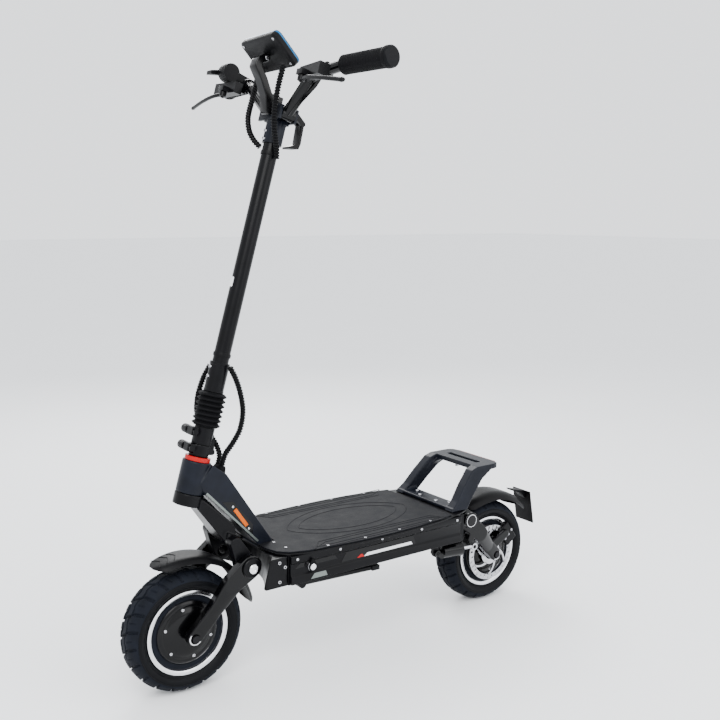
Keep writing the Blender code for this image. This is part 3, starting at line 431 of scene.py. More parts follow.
def make_tyre(name, centre, body):
    crown = [(0.0806, 0.0233), (0.0850, 0.0250), (0.0888, 0.0264), (0.0912, 0.0285), (0.0935, 0.0305),
             (0.0975, 0.0338), (0.1020, 0.0356), (0.1055, 0.0359), (0.1090, 0.0354)]
    tread = [(0.1122, 0.0347), (0.1145, 0.0332), (0.1167, 0.0311), (0.1188, 0.0290), (0.1205, 0.0268),
             (0.1221, 0.0244), (0.1235, 0.0218), (0.1246, 0.0192), (0.1254, 0.0166), (0.1260, 0.0140),
             (0.1263, 0.0116), (0.1264, 0.0100), (0.1264, 0.0085), (0.1264, 0.0070), (0.1264, 0.0045),
             (0.1264, 0.0015)]
    shrink = TYRE_RADIUS - tread[-1][0]
    half = crown + [(radius + shrink, across) for radius, across in tread]
    profile = half + [(radius, -across) for radius, across in reversed(half)]
    first_cut = tread[0][0]

    def relief(turn, radius, across):
        if radius < first_cut:
            return 0.0
        fade = min(1.0, (radius - first_cut) / 0.003 + 0.45)
        return tread_depth(turn, across) * fade

    put(f"{name}_tyre_tread", spun(profile, centre, LEFT, BLOCKS * 20, relief=relief), "tyre", body,
        [f"{name}_tyre"])
    walls = []
    for side in (-1, 1):
        wall = [(radius, side * (across + 0.00025)) for radius, across in crown[2:]]
        wall += [(radius - 0.0002, side * (across - 0.001)) for radius, across in reversed(crown[2:])]
        walls.append(spun(wall, centre, LEFT, 128, closed=True))
        for radius, across in ((0.0950, 0.0318), (0.1072, 0.0357)):
            bead = [(radius - 0.0007, side * across), (radius, side * (across + 0.0008)),
                    (radius + 0.0007, side * across), (radius, side * (across - 0.001))]
            walls.append(spun(bead, centre, LEFT, 128, closed=True))
    put(f"{name}_tyre_sidewall", together(walls), "wall", body)


def make_rim(name, centre, body):
    flange = []
    drums = []
    covers = []
    bolts = []
    for side in (-1, 1):
        ring = [(0.0882, 0.0240), (0.0887, 0.0285), (0.0880, 0.0300), (0.0862, 0.0304), (0.0835, 0.0300),
                (0.0805, 0.0296), (0.0792, 0.0285), (0.0784, 0.0250), (0.0768, 0.0215), (0.0762, 0.0205),
                (0.0800, 0.0200)]
        flange.append(spun(faced(ring, side), centre, LEFT, 128, closed=True))
        drum = [(0.0766, 0.0211), (0.0740, 0.0206), (0.0700, 0.0206), (0.0688, 0.0212), (0.0672, 0.0240),
                (0.0640, 0.0190), (0.0766, 0.0190)]
        drums.append(spun(faced(drum, side), centre, LEFT, 128, closed=True))
        cover = [(0.0656, 0.0225), (0.0656, 0.0250), (0.0645, 0.0262), (0.0600, 0.0276), (0.0560, 0.0284),
                 (0.0550, 0.0279), (0.0500, 0.0290), (0.0485, 0.0300), (0.0400, 0.0324), (0.0300, 0.0332),
                 (0.0200, 0.0338), (0.0105, 0.0340), (0.0105, 0.0310), (0.0380, 0.0290), (0.0600, 0.0220)]
        covers.append(spun(faced(cover, side), centre, LEFT, 128, closed=True))
        for number in range(6):
            turn = 2 * math.pi * (number + 0.3) / 6
            spot = centre + Vector((0.0520 * math.cos(turn), side * 0.0284, 0.0520 * math.sin(turn)))
            bolts.append(bolt(spot, (0, side, 0), 0.0034, 0.0022))
    barrel = [(0.0880, -0.0240), (0.0800, -0.0235), (0.0800, 0.0235), (0.0880, 0.0240), (0.0790, 0.0200),
              (0.0790, -0.0200)]
    flange.append(spun(barrel, centre, LEFT, 96, closed=True))
    put(f"{name}_rim_flange", together(flange), "alloy", body, [f"{name}_rim"])
    put(f"{name}_rim_drum", together(drums), "drum", body)
    put(f"{name}_hub_cover", together(covers), "gloss", body)
    put(f"{name}_hub_bolts", together(bolts), "steel", body)


ROTOR_INNER = 0.0405
ROTOR_OUTER = 0.0425


def make_rotor(name, centre, side, body):
    inner, outer = side * ROTOR_INNER, side * ROTOR_OUTER
    ring = [(0.0565, inner), (0.0697, inner), (0.0697, outer), (0.0565, outer)]
    root = side * 0.0347
    hat = [(0.0180, root), (0.0240, root), (0.0245, inner), (0.0300, inner), (0.0300, outer), (0.0180, outer)]
    shapes = [spun(hat, centre, LEFT, 64, closed=True)]
    spokes = 6
    for number in range(spokes):
        start = 2 * math.pi * number / spokes
        loops = []
        for step in range(9):
            share = step / 8
            radius = 0.0285 + 0.0295 * share
            turn = start + 0.62 * share
            half = 0.0042 - 0.0012 * math.sin(math.pi * share)
            place = centre + Vector((radius * math.cos(turn), 0, radius * math.sin(turn)))
            sideways = Vector((-math.sin(turn), 0, math.cos(turn))) * half
            loops.append([place - sideways + LEFT * inner, place + sideways + LEFT * inner,
                          place + sideways + LEFT * outer, place - sideways + LEFT * outer])
        shapes.append(lofted(loops))
    disc = put(f"{name}_rotor_ring", spun(ring, centre, LEFT, 96, closed=True), "steel", body)
    holes = []
    for number in range(30):
        turn = 2 * math.pi * number / 30
        radius = (0.0600, 0.0632, 0.0664)[number % 3]
        spot = centre + Vector((radius * math.cos(turn), side * 0.0390, radius * math.sin(turn)))
        holes.append(spun([(0.0017, 0), (0.0017, side * 0.006)], spot, LEFT, 12))
    cutter = put(f"{name}_rotor_holes", together(holes), "steel", body)
    step = disc.modifiers.new("holes", "BOOLEAN")
    step.operation = "DIFFERENCE"
    step.solver = "EXACT"
    step.object = cutter
    bake(disc)
    bpy.data.objects.remove(cutter)
    put(f"{name}_rotor_spokes", together(shapes), "steel", body, [f"{name}_rotor"])


def make_wheels():
    for name, side in (("front", -1), ("rear", 1)):
        centre = WHEELS[name]
        body = f"{name}_wheel"
        make_tyre(name, centre, body)
        make_rim(name, centre, body)
        make_rotor(name, centre, side, body)


# Guards

FRONT_GUARD_RADIUS = 0.158
FRONT_GUARD_HALF = 0.040
FRONT_GUARD_LIP = 0.012
REAR_GUARD_RADIUS = 0.148
REAR_GUARD_HALF = 0.046
REAR_GUARD_LIP = 0.018
REAR_GUARD_SPREAD = 0.018        # how much farther from the tyre its last edge lies
REAR_GUARD_START = 58
REAR_GUARD_END = 148


def guard(axle, start, end, radius, spread, half_width, lip, steps=44):
    """A domed guard over the wheel, from one angle to another about its axle."""
    thick = 0.0026
    across = [-1 + 2 * i / 16 for i in range(17)]
    loops = []
    for step in range(steps + 1):
        share = step / steps
        angle = math.radians(start + (end - start) * share)
        edge = radius + spread * share ** 2
        near_end = max(0.0, abs(2 * share - 1) - 0.80) / 0.20
        half = half_width * (1 - 0.25 * abs(2 * share - 1) ** 4) * math.sqrt(1 - 0.90 * near_end ** 3)
        drop = lip * (1 - 0.75 * near_end ** 2)
        outer = [(half * u, -drop * abs(u) ** 5) for u in across]
        inner = [((half - thick) * u, -thick - (drop - thick) * abs(u) ** 5) for u in reversed(across)]
        loops.append([
            (axle.x + (edge + rise) * math.cos(angle), y, axle.z + (edge + rise) * math.sin(angle))
            for y, rise in outer + inner
        ])
    return lofted(loops)


def make_guards():
    front, rear = WHEELS["front"], WHEELS["rear"]
    put("front_guard", guard(front, 66, 172, FRONT_GUARD_RADIUS, 0.0, FRONT_GUARD_HALF, FRONT_GUARD_LIP),
        "plastic", "steering", ["front_fender"], 0.0006, 50)
    shape = guard(rear, REAR_GUARD_START, REAR_GUARD_END, REAR_GUARD_RADIUS, REAR_GUARD_SPREAD,
                  REAR_GUARD_HALF, REAR_GUARD_LIP)
    put("rear_guard", shape, "plastic", "frame", ["rear_fender"], 0.0006, 50)
    ribs = []
    for number, angle in enumerate((70, 76, 82)):
        spread = math.radians(4)
        route = []
        for u in (-1, -0.5, 0, 0.5, 1):
            turn = math.radians(angle) + spread * (1 - abs(u))
            width = 0.0215 - 0.001 * number
            lift = FRONT_GUARD_RADIUS - FRONT_GUARD_LIP * abs(u * width / FRONT_GUARD_HALF) ** 5 + 0.0002
            spoke = Vector((lift * math.cos(turn), u * width, lift * math.sin(turn)))
            route.append(front + spoke)
        ribs.append(swept(route, 0.0008, 8))
    put("front_guard_ribs", together(ribs), "plastic", "steering")
    refine("plate_holder", "plastic", 0.0009)
    bolts = []
    for side in (-1, 1):
        for angle in (141, 133):
            turn = math.radians(angle)
            share = (angle - REAR_GUARD_START) / (REAR_GUARD_END - REAR_GUARD_START)
            reach = REAR_GUARD_RADIUS + REAR_GUARD_SPREAD * share ** 2
            spot = rear + Vector((reach * math.cos(turn), side * 0.007, reach * math.sin(turn)))
            bolts.append(bolt(spot, (math.cos(turn), 0, math.sin(turn)), 0.0032, 0.0024))
    put("rear_guard_bolts", together(bolts), "steel", "frame")


# Arms, calipers and damper

def make_arms():
    for node in ("front_arm_left", "front_arm_right", "rear_arm_left", "rear_arm_right"):
        recast(node, "gloss", 0.0013, 7)
    for node in ("front_caliper", "rear_caliper"):
        refine(node, "anodised", 0.0016)
    for node in ("front_motor", "rear_motor"):
        refine(node, "drum", 0.0005)
    for name, body, side in (("front", "front_arms", -1), ("rear", "rear_arms", 1)):
        low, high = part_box(f"{name}_caliper")
        middle = (low + high) / 2
        face = high.y if side > 0 else low.y
        bolts = []
        for spot in ((-0.010, 0.010), (0.010, -0.010), (0.0, 0.0)):
            place = Vector((middle.x + spot[0], face, middle.z + spot[1]))
            bolts.append(bolt(place, (0, side, 0), 0.0032, 0.0025))
        put(f"{name}_caliper_bolts", together(bolts), "steel", body)


def make_axle_ends():
    """A bright washer and a dark nut outside each arm."""
    nuts = []
    for name in ("front", "rear"):
        axle = WHEELS[name]
        for side in (-1, 1):
            ring = [(0.0112, 0.0628), (0.0132, 0.0628), (0.0134, 0.0634), (0.0128, 0.0640), (0.0114, 0.0640)]
            put(f"{name}_dropout_ring_{SIDES[side]}", spun(faced(ring, side), axle, LEFT, 48, closed=True),
                "alloy", f"{name}_arms")
            nut = [(TIP, 0.0682), (0.0070, 0.0682), (0.0084, 0.0672), (0.0084, 0.0630), (TIP, 0.0630)]
            shape = spun(faced(nut, side), axle, LEFT, 6)
            nuts.append((f"{name}_axle_nut_{SIDES[side]}", shape, f"{name}_arms"))
    for name, shape, body in nuts:
        put(name, shape, "anodised", body, edge=0.0006)


def make_pivots():
    """The bosses and bolts of the front link's pivot, and the ringed caps of the rear arm's."""
    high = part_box("front_arm_left")[1]
    pivot = Vector(JOINTS["front_suspension"]["pos_m"])
    for side, end in ((1, high.y), (-1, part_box("front_arm_right")[0].y)):
        word = SIDES[side]
        boss = [(0.0115, -0.009), (0.0195, -0.0085), (0.0205, -0.006), (0.0205, -0.0035), (0.0190, -0.0020),
                (0.0115, -0.0015)]
        boss = faced([(radius, along + 0.0003) for radius, along in boss], side)
        put(f"front_pivot_boss_{word}", spun(boss, (pivot.x, end, pivot.z), LEFT, 48), "anodised",
            "front_arms")
        head = bolt((pivot.x, end - side * 0.0005, pivot.z), (0, side, 0), 0.0098, 0.0045)
        put(f"front_pivot_bolt_{word}", head, "alloy", "front_arms")
    pivot = Vector(JOINTS["rear_suspension"]["pos_m"])
    for side, node in ((1, "rear_arm_left"), (-1, "rear_arm_right")):
        word = SIDES[side]
        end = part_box(node)[1].y if side > 0 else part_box(node)[0].y
        cap = [(0.0180, -0.007), (0.0200, -0.006), (0.0200, -0.0012), (0.0190, -0.0002), (0.0170, 0.0),
               (TIP, 0.0)]
        put(f"rear_pivot_cap_{word}", spun(faced(cap, side), (pivot.x, end, pivot.z), LEFT, 48),
            "gloss", "rear_arms")
        ring = [(0.0140, -0.0004), (0.0150, -0.0004), (0.0150, 0.0003), (0.0140, 0.0003)]
        put(f"rear_pivot_ring_{word}",
            spun(faced(ring, side), (pivot.x, end, pivot.z), LEFT, 48, closed=True), "white", "rear_arms")


def make_damper():
    refine("damper_body", "gloss", 0.0016)
    refine("damper_rod", "steel", 0.0006)


def make_kickstand():
    refine("kickstand", "anodised", 0.0012)


# Frame and deck

def make_neck():
    """The frame's casting, dark below the height that it returns, where the cross block ends."""
    made = recast("main_frame", "painted", 0.0018, 5)
    made.data.materials.append(LOOKS["anodised"])
    block_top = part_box("deck_plate")[0].z
    for face in made.data.polygons:
        face.material_index = 1 if face.center.z < block_top else 0
    return block_top


NECK_FACE = 0.0320               # the neck's side faces lie just inside these pieces
REFLECTOR_HALF = 0.024
REFLECTOR_THICK = 0.004          # half of its width
PANEL_MARGIN = 0.008


def make_neck_sides():
    """Along each side, in shares of the length from the deck mat up to the head tube's back."""
    foot = Vector((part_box("main_frame")[0].x, 0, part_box("deck_mat")[1].z))
    head_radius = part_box("headset_ring")[1].y
    reach = steer(-head_radius, 0, 0) - foot
    length = reach.length
    up = reach.normalized()
    ahead = Vector((up.z, 0, -up.x))
    middle, deep = 0.42 * length, 0.12 * length
    half, thick, margin = REFLECTOR_HALF, REFLECTOR_THICK, PANEL_MARGIN
    lens = [(middle + half * a, deep + thick * b) for a, b in ((-1, -1), (1, -1), (1, 1), (-1, 1))]
    panel = [
        (middle + half + 4 * margin, deep + thick + margin),
        (middle + half + 2 * margin, deep - thick - 0.4 * margin),
        (middle - half - margin, deep - thick - margin),
        (middle - half - 3 * margin, deep),
        (middle - half - margin, deep + thick + 0.2 * margin),
        (middle + half, deep + thick + 0.8 * margin),
    ]
    # The strip along the neck's lower edge is a plate lip; its pale colour is a painted highlight.
    trim_and_highlight = [(0.84 * length, 0.245 * length), (0.11 * length, deep + thick * 0.6),
            (0.11 * length, deep - thick * 0.5), (0.84 * length, 0.225 * length)]
    panels, highlight_trims, lenses, screws = [], [], [], []
    for side in (-1, 1):
        base = foot + LEFT * side * NECK_FACE
        for group, outline, proud in ((panels, panel, 0.0014), (highlight_trims, trim_and_highlight, 0.0017), (lenses, lens, 0.0030)):
            loop = [base + up * u + ahead * v for u, v in outline]
            group.append(lofted([loop, [point + LEFT * side * proud for point in loop]]))
        for end in (-1, 1):
            spot = base + up * (middle + end * (half + margin)) + ahead * deep
            screws.append(bolt(spot + LEFT * side * 0.0016, (0, side, 0), 0.0026, 0.0014))
    put("neck_panels", together(panels), "gloss", "frame", edge=0.0003)
    # Pale strips on the neck: a painted highlight along the plate lips.
    put("neck_highlight_trims", together(highlight_trims), "trim_and_highlight", "frame", edge=0.0003)
    put("neck_reflectors", together(lenses), "orange", "frame", edge=0.0005)
    put("neck_screws", together(screws), "steel", "frame")


def make_cable_gland():
    gland = spun([(0.0105, -0.006), (0.0115, 0.0), (0.0105, 0.010), (0.0085, 0.013), (0.0020, 0.013)],
                 steer(-0.054, 0.0, -0.022), UP, 32)
    bmesh.ops.scale(gland, vec=(1, 1.7, 1), verts=gland.verts)
    put("neck_cable_gland", gland, "rubber", "frame", edge=0.0005)


def make_block_bolts(block_top):
    low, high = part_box("main_frame")
    tall = block_top - low.z
    heads = []
    for side in (-1, 1):
        spots = [(low.x + 0.035, 0.84), (low.x + 0.035, 0.20), (low.x + 0.022, 0.66)]
        heads += [bolt((x, side * (high.y - 0.0010), low.z + share * tall), (0, side, 0), 0.0036, 0.0026)
                  for x, share in spots]
    put("cross_block_bolts", together(heads), "steel", "frame")


def ridge(points, width=0.0016, height=0.0007):
    """A raised line of low trapezoid section through (x, y) points on the mat, closed on itself."""
    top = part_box("deck_mat")[1].z
    loops = []
    count = len(points)
    for i, (x, y) in enumerate(points):
        before, after = points[i - 1], points[(i + 1) % count]
        along = Vector((after[0] - before[0], after[1] - before[1], 0)).normalized()
        side = Vector((-along.y, along.x, 0))
        place = Vector((x, y, top))
        loops.append([place - side * width, place - side * 0.5 * width + Vector((0, 0, height)),
                      place + side * 0.5 * width + Vector((0, 0, height)), place + side * width])
    return lofted(loops, closed=True)


def eye(middle, half_length, half_width, steps=64):
    """A long pointed oval."""
    points = []
    for i in range(steps):
        turn = 2 * math.pi * i / steps
        points.append((middle + half_length * math.cos(turn),
                       half_width * math.copysign(abs(math.sin(turn)) ** 1.35, math.sin(turn))))
    return points


def wedge(x_low, x_high, y_low, y_high, slope, inset, side):
    """A four-cornered field with a slanted short side, drawn in by inset."""
    x_low, x_high, y_low, y_high = x_low + inset, x_high - inset, y_low + inset, y_high - inset
    corners = [(x_low + slope, y_low), (x_high - slope, y_low), (x_high, y_high), (x_low, y_high)]
    points = []
    for (x, y), (x2, y2) in zip(corners, corners[1:] + corners[:1]):
        for step in range(8):
            share = step / 8
            points.append((x + (x2 - x) * share, side * (y + (y2 - y) * share)))
    return points


def make_deck():
    refine("deck_plate", "anodised", 0.0008)
    refine("deck_mat", "mat", 0.0006)
    refine("deck_tray", "anodised", 0.0012)
    middle = MIDDLE_X - 0.005
    ridges = [ridge(eye(middle, length, width)) for length, width in ((0.160, 0.086), (0.132, 0.062))]
    field_rear, field_front = MIDDLE_X - 0.190, MIDDLE_X + 0.170
    field_inner, field_outer, field_slope = 0.096, 0.132, 0.030
    for side in (-1, 1):
        for inset in (0.0, 0.010):
            field = wedge(field_rear, field_front, field_inner, field_outer, field_slope, inset, side)
            ridges.append(ridge(field))
    put("deck_mat_ridges", together(ridges), "mat", "frame")
    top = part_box("deck_mat")[1].z
    mat_low, mat_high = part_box("deck_mat")
    screws = []
    for side in (-1, 1):
        for u, v in ((0.15, 0.90), (0.35, 0.94), (0.55, 0.94), (0.75, 0.90), (0.92, 0.62), (0.93, 0.33)):
            x = mat_low.x + u * (mat_high.x - mat_low.x)
            screws.append(bolt((x, side * v * mat_high.y, top), (0, 0, 1), 0.0030, 0.0012))
    put("deck_mat_screws", together(screws), "steel", "frame")
    for side, node in ((1, "rail_left"), (-1, "rail_right")):
        low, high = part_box(node)
        refine(node, "anodised", 0.0009)
        face = high.y if side > 0 else low.y
        word = SIDES[side]

        def plate(name, along, rise, surface, lift, groove=0.0, slant=0.02):
            """A plate on the rail's face, between shares of its length and of its height."""
            start = face - side * (groove + 0.0006)
            corners = ((along[1], rise[0]), (along[0], rise[0]), (along[0] + slant / 2, rise[1]),
                       (along[1] - slant, rise[1]))
            size = high - low
            loop = [Vector((low.x + u * size.x, start, low.z + v * size.z)) for u, v in corners]
            put(f"{name}_{word}", lofted([loop, [p + LEFT * side * (0.0006 + lift) for p in loop]]), surface,
                "frame", edge=0.0003)

        plate("rail_badge", (0.81, 0.90), (0.07, 0.25), "trim_and_highlight", 0.0006)
        plate("rail_panel", (0.29, 0.73), (0.36, 0.70), "gloss", 0.0006, 0.004, 0.03)
        plate("rail_stripe", (0.31, 0.60), (0.38, 0.49), "white", 0.0014, 0.004)
        plate("rail_stripe_end", (0.60, 0.64), (0.38, 0.49), "red", 0.0014, 0.004)
        plate("rail_recess", (0.75, 0.98), (0.54, 0.70), "gloss", 0.0006, 0.004, 0.03)
        height = low.z + 0.89 * (high.z - low.z)
        spots = [(low.x + u * (high.x - low.x), face - side * 0.0002, height)
                 for u in (0.03, 0.26, 0.50, 0.74, 0.97)]
        bolts = [bolt(spot, (0, side, 0), 0.0030, 0.0018) for spot in spots]
        put(f"rail_bolts_{word}", together(bolts), "steel", "frame")
    refine("charge_port", "steel", 0.0005)
    refine("charge_cap", "rubber", 0.0008)
    low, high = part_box("charge_cap")
    insert = [(0.0066, -0.0005), (0.0066, 0.0006), (0.0058, 0.0011), (0.0030, 0.0011), (TIP, 0.0004)]
    put("charge_cap_insert", spun(insert, ((low.x + high.x) / 2, high.y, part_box("charge_port")[0].z + 0.0098),
                                  LEFT, 32), "alloy", "port_cap")
    refine("battery_pack", "cell", 0.0015)


LEG_WIDTH = 0.026
LEG_SPLAY = 0.20                 # how far the kickplate's legs spread for each metre that they go down


def corner_web(height, radius, rising):
    """Fillets between the kickplate's legs and the edge at a height; rising is 1 under the top, else -1."""
    low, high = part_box("kickplate")
    webs = []
    for side in (-1, 1):
        inner = high.y - LEG_WIDTH - LEG_SPLAY * (height - low.z) + 0.004
        outline = [(inner, height + 0.002 * rising)]
        for step in range(9):
            turn = math.pi / 2 * step / 8
            drop = rising * radius * (1 - math.cos(turn))
            outline.append((inner - radius + radius * math.sin(turn), height - drop))
        outline.append((inner, height - rising * radius))
        loops = []
        for offset in (-0.011, 0.011):
            loop = []
            for y, z in outline:
                share = (high.z - z) / (high.z - low.z)
                x = low.x + (high.x - low.x) * (0.265 + 0.735 * share - 0.147 * share ** 2)
                loop.append((x + offset, side * y, z))
            loops.append(loop)
        webs.append(lofted(loops))
    return webs


def make_kickplate():
    low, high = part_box("kickplate")
    fillets = corner_web(high.z - 0.012, 0.024, 1) + corner_web(low.z + 0.008, 0.018, -1)
    recast("kickplate", "painted", 0.0015, 8, fillets)
    refine("tail_light", "lamp", 0.0008)
    bolts = []
    for side in (-1, 1):
        for x, y in ((-0.2380, 0.094), (-0.2540, 0.060), (-0.2380, 0.030)):
            bolts.append(bolt((x + MIDDLE_X, side * y, 0.2884), (0, 0, 1), 0.0040, 0.0026))
    put("kickplate_bolts", together(bolts), "steel", "frame")
    rib = spun([(0.0050, 0), (0.0050, 0.005), (0.0042, 0.006), (TIP, 0.006)],
               (MIDDLE_X - 0.330, 0, high.z - 0.0180), (0, 0, 1), 24)
    put("kickplate_knob", rib, "steel", "frame")


# Steering column, in distances along the steering axis from the head tube's top

BELLOWS_FOLDS = 7
BELLOWS_LOW = 0.0645
BELLOWS_HIGH = 0.1345
SLEEVE_BORE = 0.0168             # the bellows and the sleeve both fit over the stem tube
STEM_RADIUS = 0.0165
STEM_BORE = 0.0138
STEM_LOW = 0.0335
STEM_HIGH = 0.6895
SLEEVE_BOLTS = (0.185, 0.165)
HEAD_BOLTS = (0.671, 0.655)
CLIPS = (0.2120, 0.6280)
REFLECTOR_HEIGHT = 0.360


def make_column():
    recast("fork_yoke", "anodised", 0.0015, 6)
    refine("headset_ring", "red", 0.0006)
    refine("upper_bearing", "steel", 0.0005)
    refine("lower_bearing", "steel", 0.0005)
    refine("clamp_collar", "anodised", 0.0012)
    refine("stem_head", "painted", 0.0016)
    for node in ("clamp_knob_upper", "clamp_knob_lower"):
        body = body_of(node)
        low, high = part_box(node)
        middle = (low + high) / 2
        knurl = 22
        profile = [(TIP, 0.0), (0.0072, 0.0), (0.0088, 0.0012), (0.0092, 0.0024), (0.0092, 0.0190),
                   (0.0085, 0.0206), (0.0060, 0.0214), (TIP, 0.0214)]

        def relief(turn, radius, along):
            return 0.0007 * (1 + math.cos(knurl * turn)) / 2 if radius > 0.009 else 0.0

        put(f"{node}_grip", spun(profile, (middle.x, low.y, middle.z), LEFT, knurl * 8, relief=relief),
            "anodised", body, [node])
        shaft = spun([(0.0029, 0.0214), (0.0029, 0.0470)], (middle.x, low.y, middle.z), LEFT, 24)
        put(f"{node}_shaft", shaft, "steel", body)
        put(f"{node}_nut", spun([(0.0062, 0.0474), (0.0062, 0.0528)], (middle.x, low.y, middle.z), LEFT, 6),
            "anodised", body, edge=0.0006)

    inside = SLEEVE_BORE
    outer = []
    steps = 10
    for step in range(BELLOWS_FOLDS * steps + 1):
        share = step / steps
        swell = 0.5 - 0.5 * math.cos(2 * math.pi * share)
        height = BELLOWS_LOW + (BELLOWS_HIGH - BELLOWS_LOW) * share / BELLOWS_FOLDS
        outer.append((0.0236 + 0.0054 * swell ** 0.8, height))
    folds = [(inside, BELLOWS_LOW), *outer, (inside, BELLOWS_HIGH)]
    put("bellows_folds", spun(folds, HEADSET, UP, 72, closed=True), "rubber", "stem", ["bellows"])
    sleeve = [(inside, 0.1350), (0.0196, 0.1350), (0.0205, 0.1360), (0.0205, 0.1395), (0.0199, 0.1402),
              (0.0199, 0.1905), (0.0205, 0.1912), (0.0205, 0.1955), (0.0196, 0.1965), (inside, 0.1965)]
    put("sleeve_turned", spun(sleeve, HEADSET, UP, 72, closed=True), "anodised", "stem", ["sleeve"])
    bolts = [bolt(steer(0.0195, 0.0, z), AHEAD, 0.0036, 0.003) for z in SLEEVE_BOLTS]
    bolts += [bolt(steer(0.0202, 0.0, z), AHEAD, 0.0034, 0.003) for z in HEAD_BOLTS]
    put("column_bolts", together(bolts), "steel", "stem")
    tube = [(STEM_BORE, STEM_LOW), (STEM_RADIUS, STEM_LOW), (STEM_RADIUS, STEM_HIGH), (STEM_BORE, STEM_HIGH)]
    put("stem_tube_turned", spun(tube, HEADSET, UP, 72, closed=True), "anodised", "stem", ["stem_tube"])
    clips = []
    for height in CLIPS:
        band = [(0.0166, height - 0.004), (0.0178, height - 0.004), (0.0181, height - 0.002),
                (0.0181, height + 0.002), (0.0178, height + 0.004), (0.0166, height + 0.004)]
        clips.append(spun(band, HEADSET, UP, 48, closed=True))
    put("cable_clips", together(clips), "plastic", "stem")
    lens = slab(rounded(0.0100, 0.0050, 0.002), steer(0.0160, 0, REFLECTOR_HEIGHT), UP, LEFT, -0.0020)
    put("stem_reflector", lens, "white", "stem", edge=0.0004)
    refine("latch_hook", "anodised", 0.0009)


# Handlebar

def bar_route(side):
    route = [(0.0, 0.0355, 0.7120), (0.012, 0.110, 0.7670), (0.010, 0.132, 0.7780), (-0.006, 0.185, 0.7925),
             (-0.0262, 0.303, 0.8016)]
    return [steer(x, side * y, z) for x, y, z in route]


def make_bars():
    for side, word in ((1, "left"), (-1, "right")):
        body = body_of(f"bar_{word}")
        refine(f"bar_{word}", "gloss", 0.0008, 40)
        route = bar_route(side)
        start, end = route[3], route[4]
        along = (end - start).normalized()
        length = (end - start).length

        def relief(turn, radius, place):
            inside_band = 0.012 < place < length - 0.010
            return 0.0007 * (math.sin(place * 1500) > 0.2) * (abs(math.sin(1.5 * turn)) > 0.25) * inside_band

        steps = 150
        profile = [(0.0120, 0.0060), (0.0168, 0.0062), (0.0186, 0.0075)]
        shares = [i / steps for i in range(steps + 1)]
        profile += [(0.0183 + 0.0006 * share, 0.009 + (length - 0.017) * share) for share in shares]
        profile += [(0.0202, length - 0.0055), (0.0205, length - 0.003), (0.0205, length + 0.002)]
        put(f"grip_{word}_ribbed", spun(profile, start, along, 72, relief=relief), "rubber", body,
            [f"grip_{word}"])
        cap = [(0.0203, length + 0.0021), (0.0200, length + 0.0055), (0.0184, length + 0.0076),
               (0.0140, length + 0.0078), (TIP, length + 0.0078)]
        put(f"grip_{word}_cap", spun(cap, start, along, 48), "wall", body)
        refine(f"brake_master_{word}", "anodised", 0.0012)
        spots = [steer(x, side * y, 0.7764) for x, y in ((0.036, 0.134), (0.046, 0.198))]
        screws = [bolt(spot, UP, 0.0018, 0.0012) for spot in spots]
        put(f"brake_cover_screws_{word}", together(screws), "steel", body)
        blade = [(0.0560, 0.158, 0.7478), (0.0620, 0.190, 0.7440), (0.0605, 0.240, 0.7375),
                 (0.0535, 0.297, 0.7300)]
        path = smooth_route([steer(x, side * y, z) for x, y, z in blade], 0.005)

        def thickness(gone, turn, share):
            knob = 0.0052 if share > 0.955 else 0.0045
            return knob * (1 - 0.12 * abs(math.cos(turn))) * (0.75 if share in (0.0, 1.0) else 1)

        put(f"brake_blade_{word}", swept(path, thickness, 20), "anodised", f"lever_{word}",
            [f"brake_lever_{word}"])
        hub = spun([(0.0062, 0.7425), (0.0074, 0.7433), (0.0074, 0.7522), (0.0062, 0.7530), (0.0034, 0.7530),
                    (0.0034, 0.7425)], steer(0.0560, side * 0.1560, 0), UP, 32, closed=True)
        put(f"brake_hub_{word}", hub, "anodised", f"lever_{word}")
    knurl = 26

    def drum_relief(turn, radius, place):
        return 0.0010 * (math.cos(knurl * turn) > 0.1) if radius > 0.0186 else 0.0

    drum = [(0.0185, -0.1832), (0.0190, -0.1815), (0.0190, -0.1595), (0.0185, -0.1572)]
    body = body_of("throttle_body")
    refine("throttle_body", "plastic", 0.0010)
    centre = steer(0.0470, 0, 0.7990)
    ribs = [(r + 0.0004 if r > 0.0185 else r * 0.98, y * 0.998 - 0.0002) for r, y in drum]
    put("throttle_knurl", spun(ribs, centre, LEFT, knurl * 8, relief=drum_relief), "plastic", body)
    refine("throttle_trigger", "plastic", 0.0014)


DISPLAY_LEAN = math.radians(-31.3)
DISPLAY_HALF_LENGTH = 0.038
DISPLAY_HALF_WIDTH = 0.069
DISPLAY_CORNER = 0.012


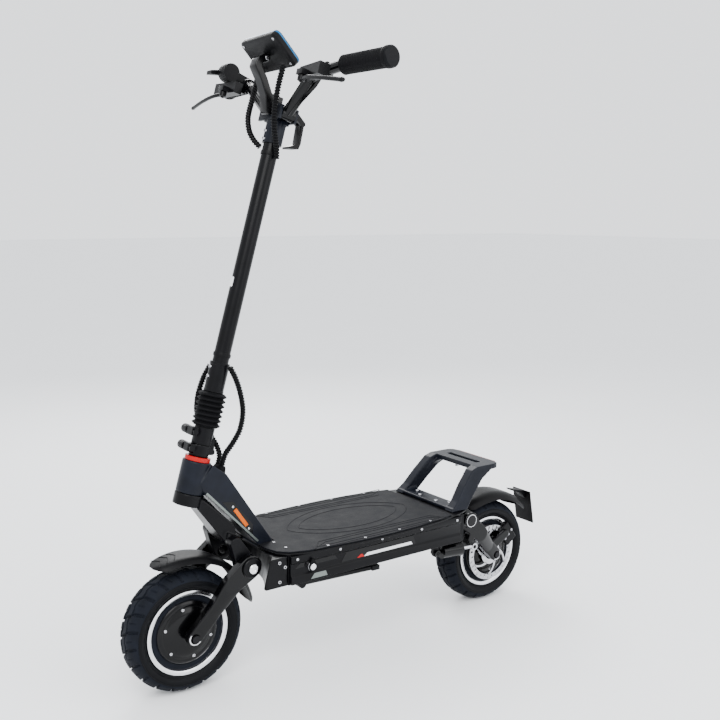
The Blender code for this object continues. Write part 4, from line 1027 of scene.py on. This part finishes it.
def make_display():
    refine("display_stalk", "gloss", 0.0022, 24)
    body = body_of("display_housing")
    centre = steer(0.0515, 0, 0.8200)
    along = AHEAD * math.cos(DISPLAY_LEAN) - UP * math.sin(DISPLAY_LEAN)
    out = along.cross(LEFT)

    def layer(outline, height):
        """The outline's points at a height above the display's middle plane."""
        return [centre + along * u + LEFT * v + out * height for u, v in outline]

    def shrunk(reach):
        return rounded(DISPLAY_HALF_LENGTH * reach, DISPLAY_HALF_WIDTH * reach, DISPLAY_CORNER * reach)

    loops = []
    for reach, height in ((0.90, -0.0090), (0.97, -0.0080), (1.0, -0.0060), (1.0, 0.0050), (0.985, 0.0075),
                          (0.955, 0.0088)):
        loops.append(layer(shrunk(reach), height))
    put("display_shell", lofted(loops), "plastic", body, ["display_housing"])
    band = []
    for reach, height in ((1.002, 0.0025), (1.002, 0.0058), (0.97, 0.0058), (0.97, 0.0025)):
        band.append(layer(shrunk(reach), height))
    put("display_bezel", lofted(band, closed=True), "blue", body)
    screen = rounded(0.030, 0.052, 0.006)
    put("display_screen", lofted([layer(screen, 0.0086), layer(screen, 0.0089)]), "glass", body)
    screws = []
    for u in (-0.029, 0.029):
        for v in (-0.058, 0.058):
            screws.append(bolt(centre + along * u + LEFT * v - out * 0.0088, -out, 0.0030, 0.0014))
    put("display_screws", together(screws), "steel", body)
    hinge = spun([(0.0045, -0.0142), (0.0045, 0.0142)], steer(0.0605, 0, 0.8035), LEFT, 24)
    put("display_hinge_bolt", hinge, "steel", body, edge=0.0006)
    refine("display_button", "rubber", 0.0006)


# Cable looms. Each route's points are what steer() takes, and repeat the model's own.

LOOM_RADIUS = 0.006
LOOMS = {
    "upper_loom_left": [(0.050, 0.066, 0.785), (0.044, 0.053, 0.756), (0.038, 0.045, 0.726),
                        (0.030, 0.040, 0.690), (0.016, 0.034, 0.660), (0.002, 0.027, 0.638),
                        (-0.006, 0.0222, 0.620)],
    "upper_loom_right": [(0.036, -0.062, 0.790), (0.035, -0.058, 0.772), (0.039, -0.052, 0.734),
                         (0.042, -0.046, 0.695), (0.037, -0.038, 0.668), (0.028, -0.028, 0.651),
                         (0.015, -0.018, 0.639)],
    "lower_loom_left": [(-0.010, 0.026, 0.192), (-0.029, 0.029, 0.169), (-0.046, 0.032, 0.140),
                        (-0.058, 0.034, 0.108), (-0.062, 0.031, 0.072), (-0.057, 0.024, 0.042),
                        (-0.052, 0.014, 0.016), (-0.053, 0.0085, -0.010)],
    "lower_loom_right": [(0.006, -0.028, 0.186), (0.011, -0.035, 0.155), (0.010, -0.041, 0.115),
                         (-0.002, -0.044, 0.078), (-0.030, -0.036, 0.050), (-0.047, -0.020, 0.026),
                         (-0.053, -0.010, 0.008), (-0.053, -0.0075, -0.010)],
}
BENDS = {
    "upper_loom_left": ("bar_left_group", "stem"),
    "upper_loom_right": ("bar_right_group", "stem"),
    "lower_loom_left": ("stem", "steering"),
    "lower_loom_right": ("stem", "steering"),
}


def wrapped(gone, turn, share):
    """The radius of a cable in spiral wrap, which has a gap between its turns."""
    phase = (gone / 0.0056 + turn / (2 * math.pi)) % 1
    return LOOM_RADIUS - 0.0018 * (phase < 0.36)


def make_looms():
    for name, route in LOOMS.items():
        points = smooth_route([steer(*point) for point in route], 0.0007)
        near, far = BENDS[name]
        made = put(f"{name}_wrap", swept(points, wrapped, 24), "plastic", near, [name],
                   blend=(near, far, points[len(points) // 8], points[-len(points) // 8]))


make_camera()
make_studio()
make_wheels()
make_guards()
make_arms()
make_axle_ends()
make_pivots()
make_damper()
make_kickstand()
block_top = make_neck()
make_neck_sides()
make_cable_gland()
make_block_bolts(block_top)
make_deck()
make_kickplate()
make_column()
make_bars()
make_display()
make_looms()
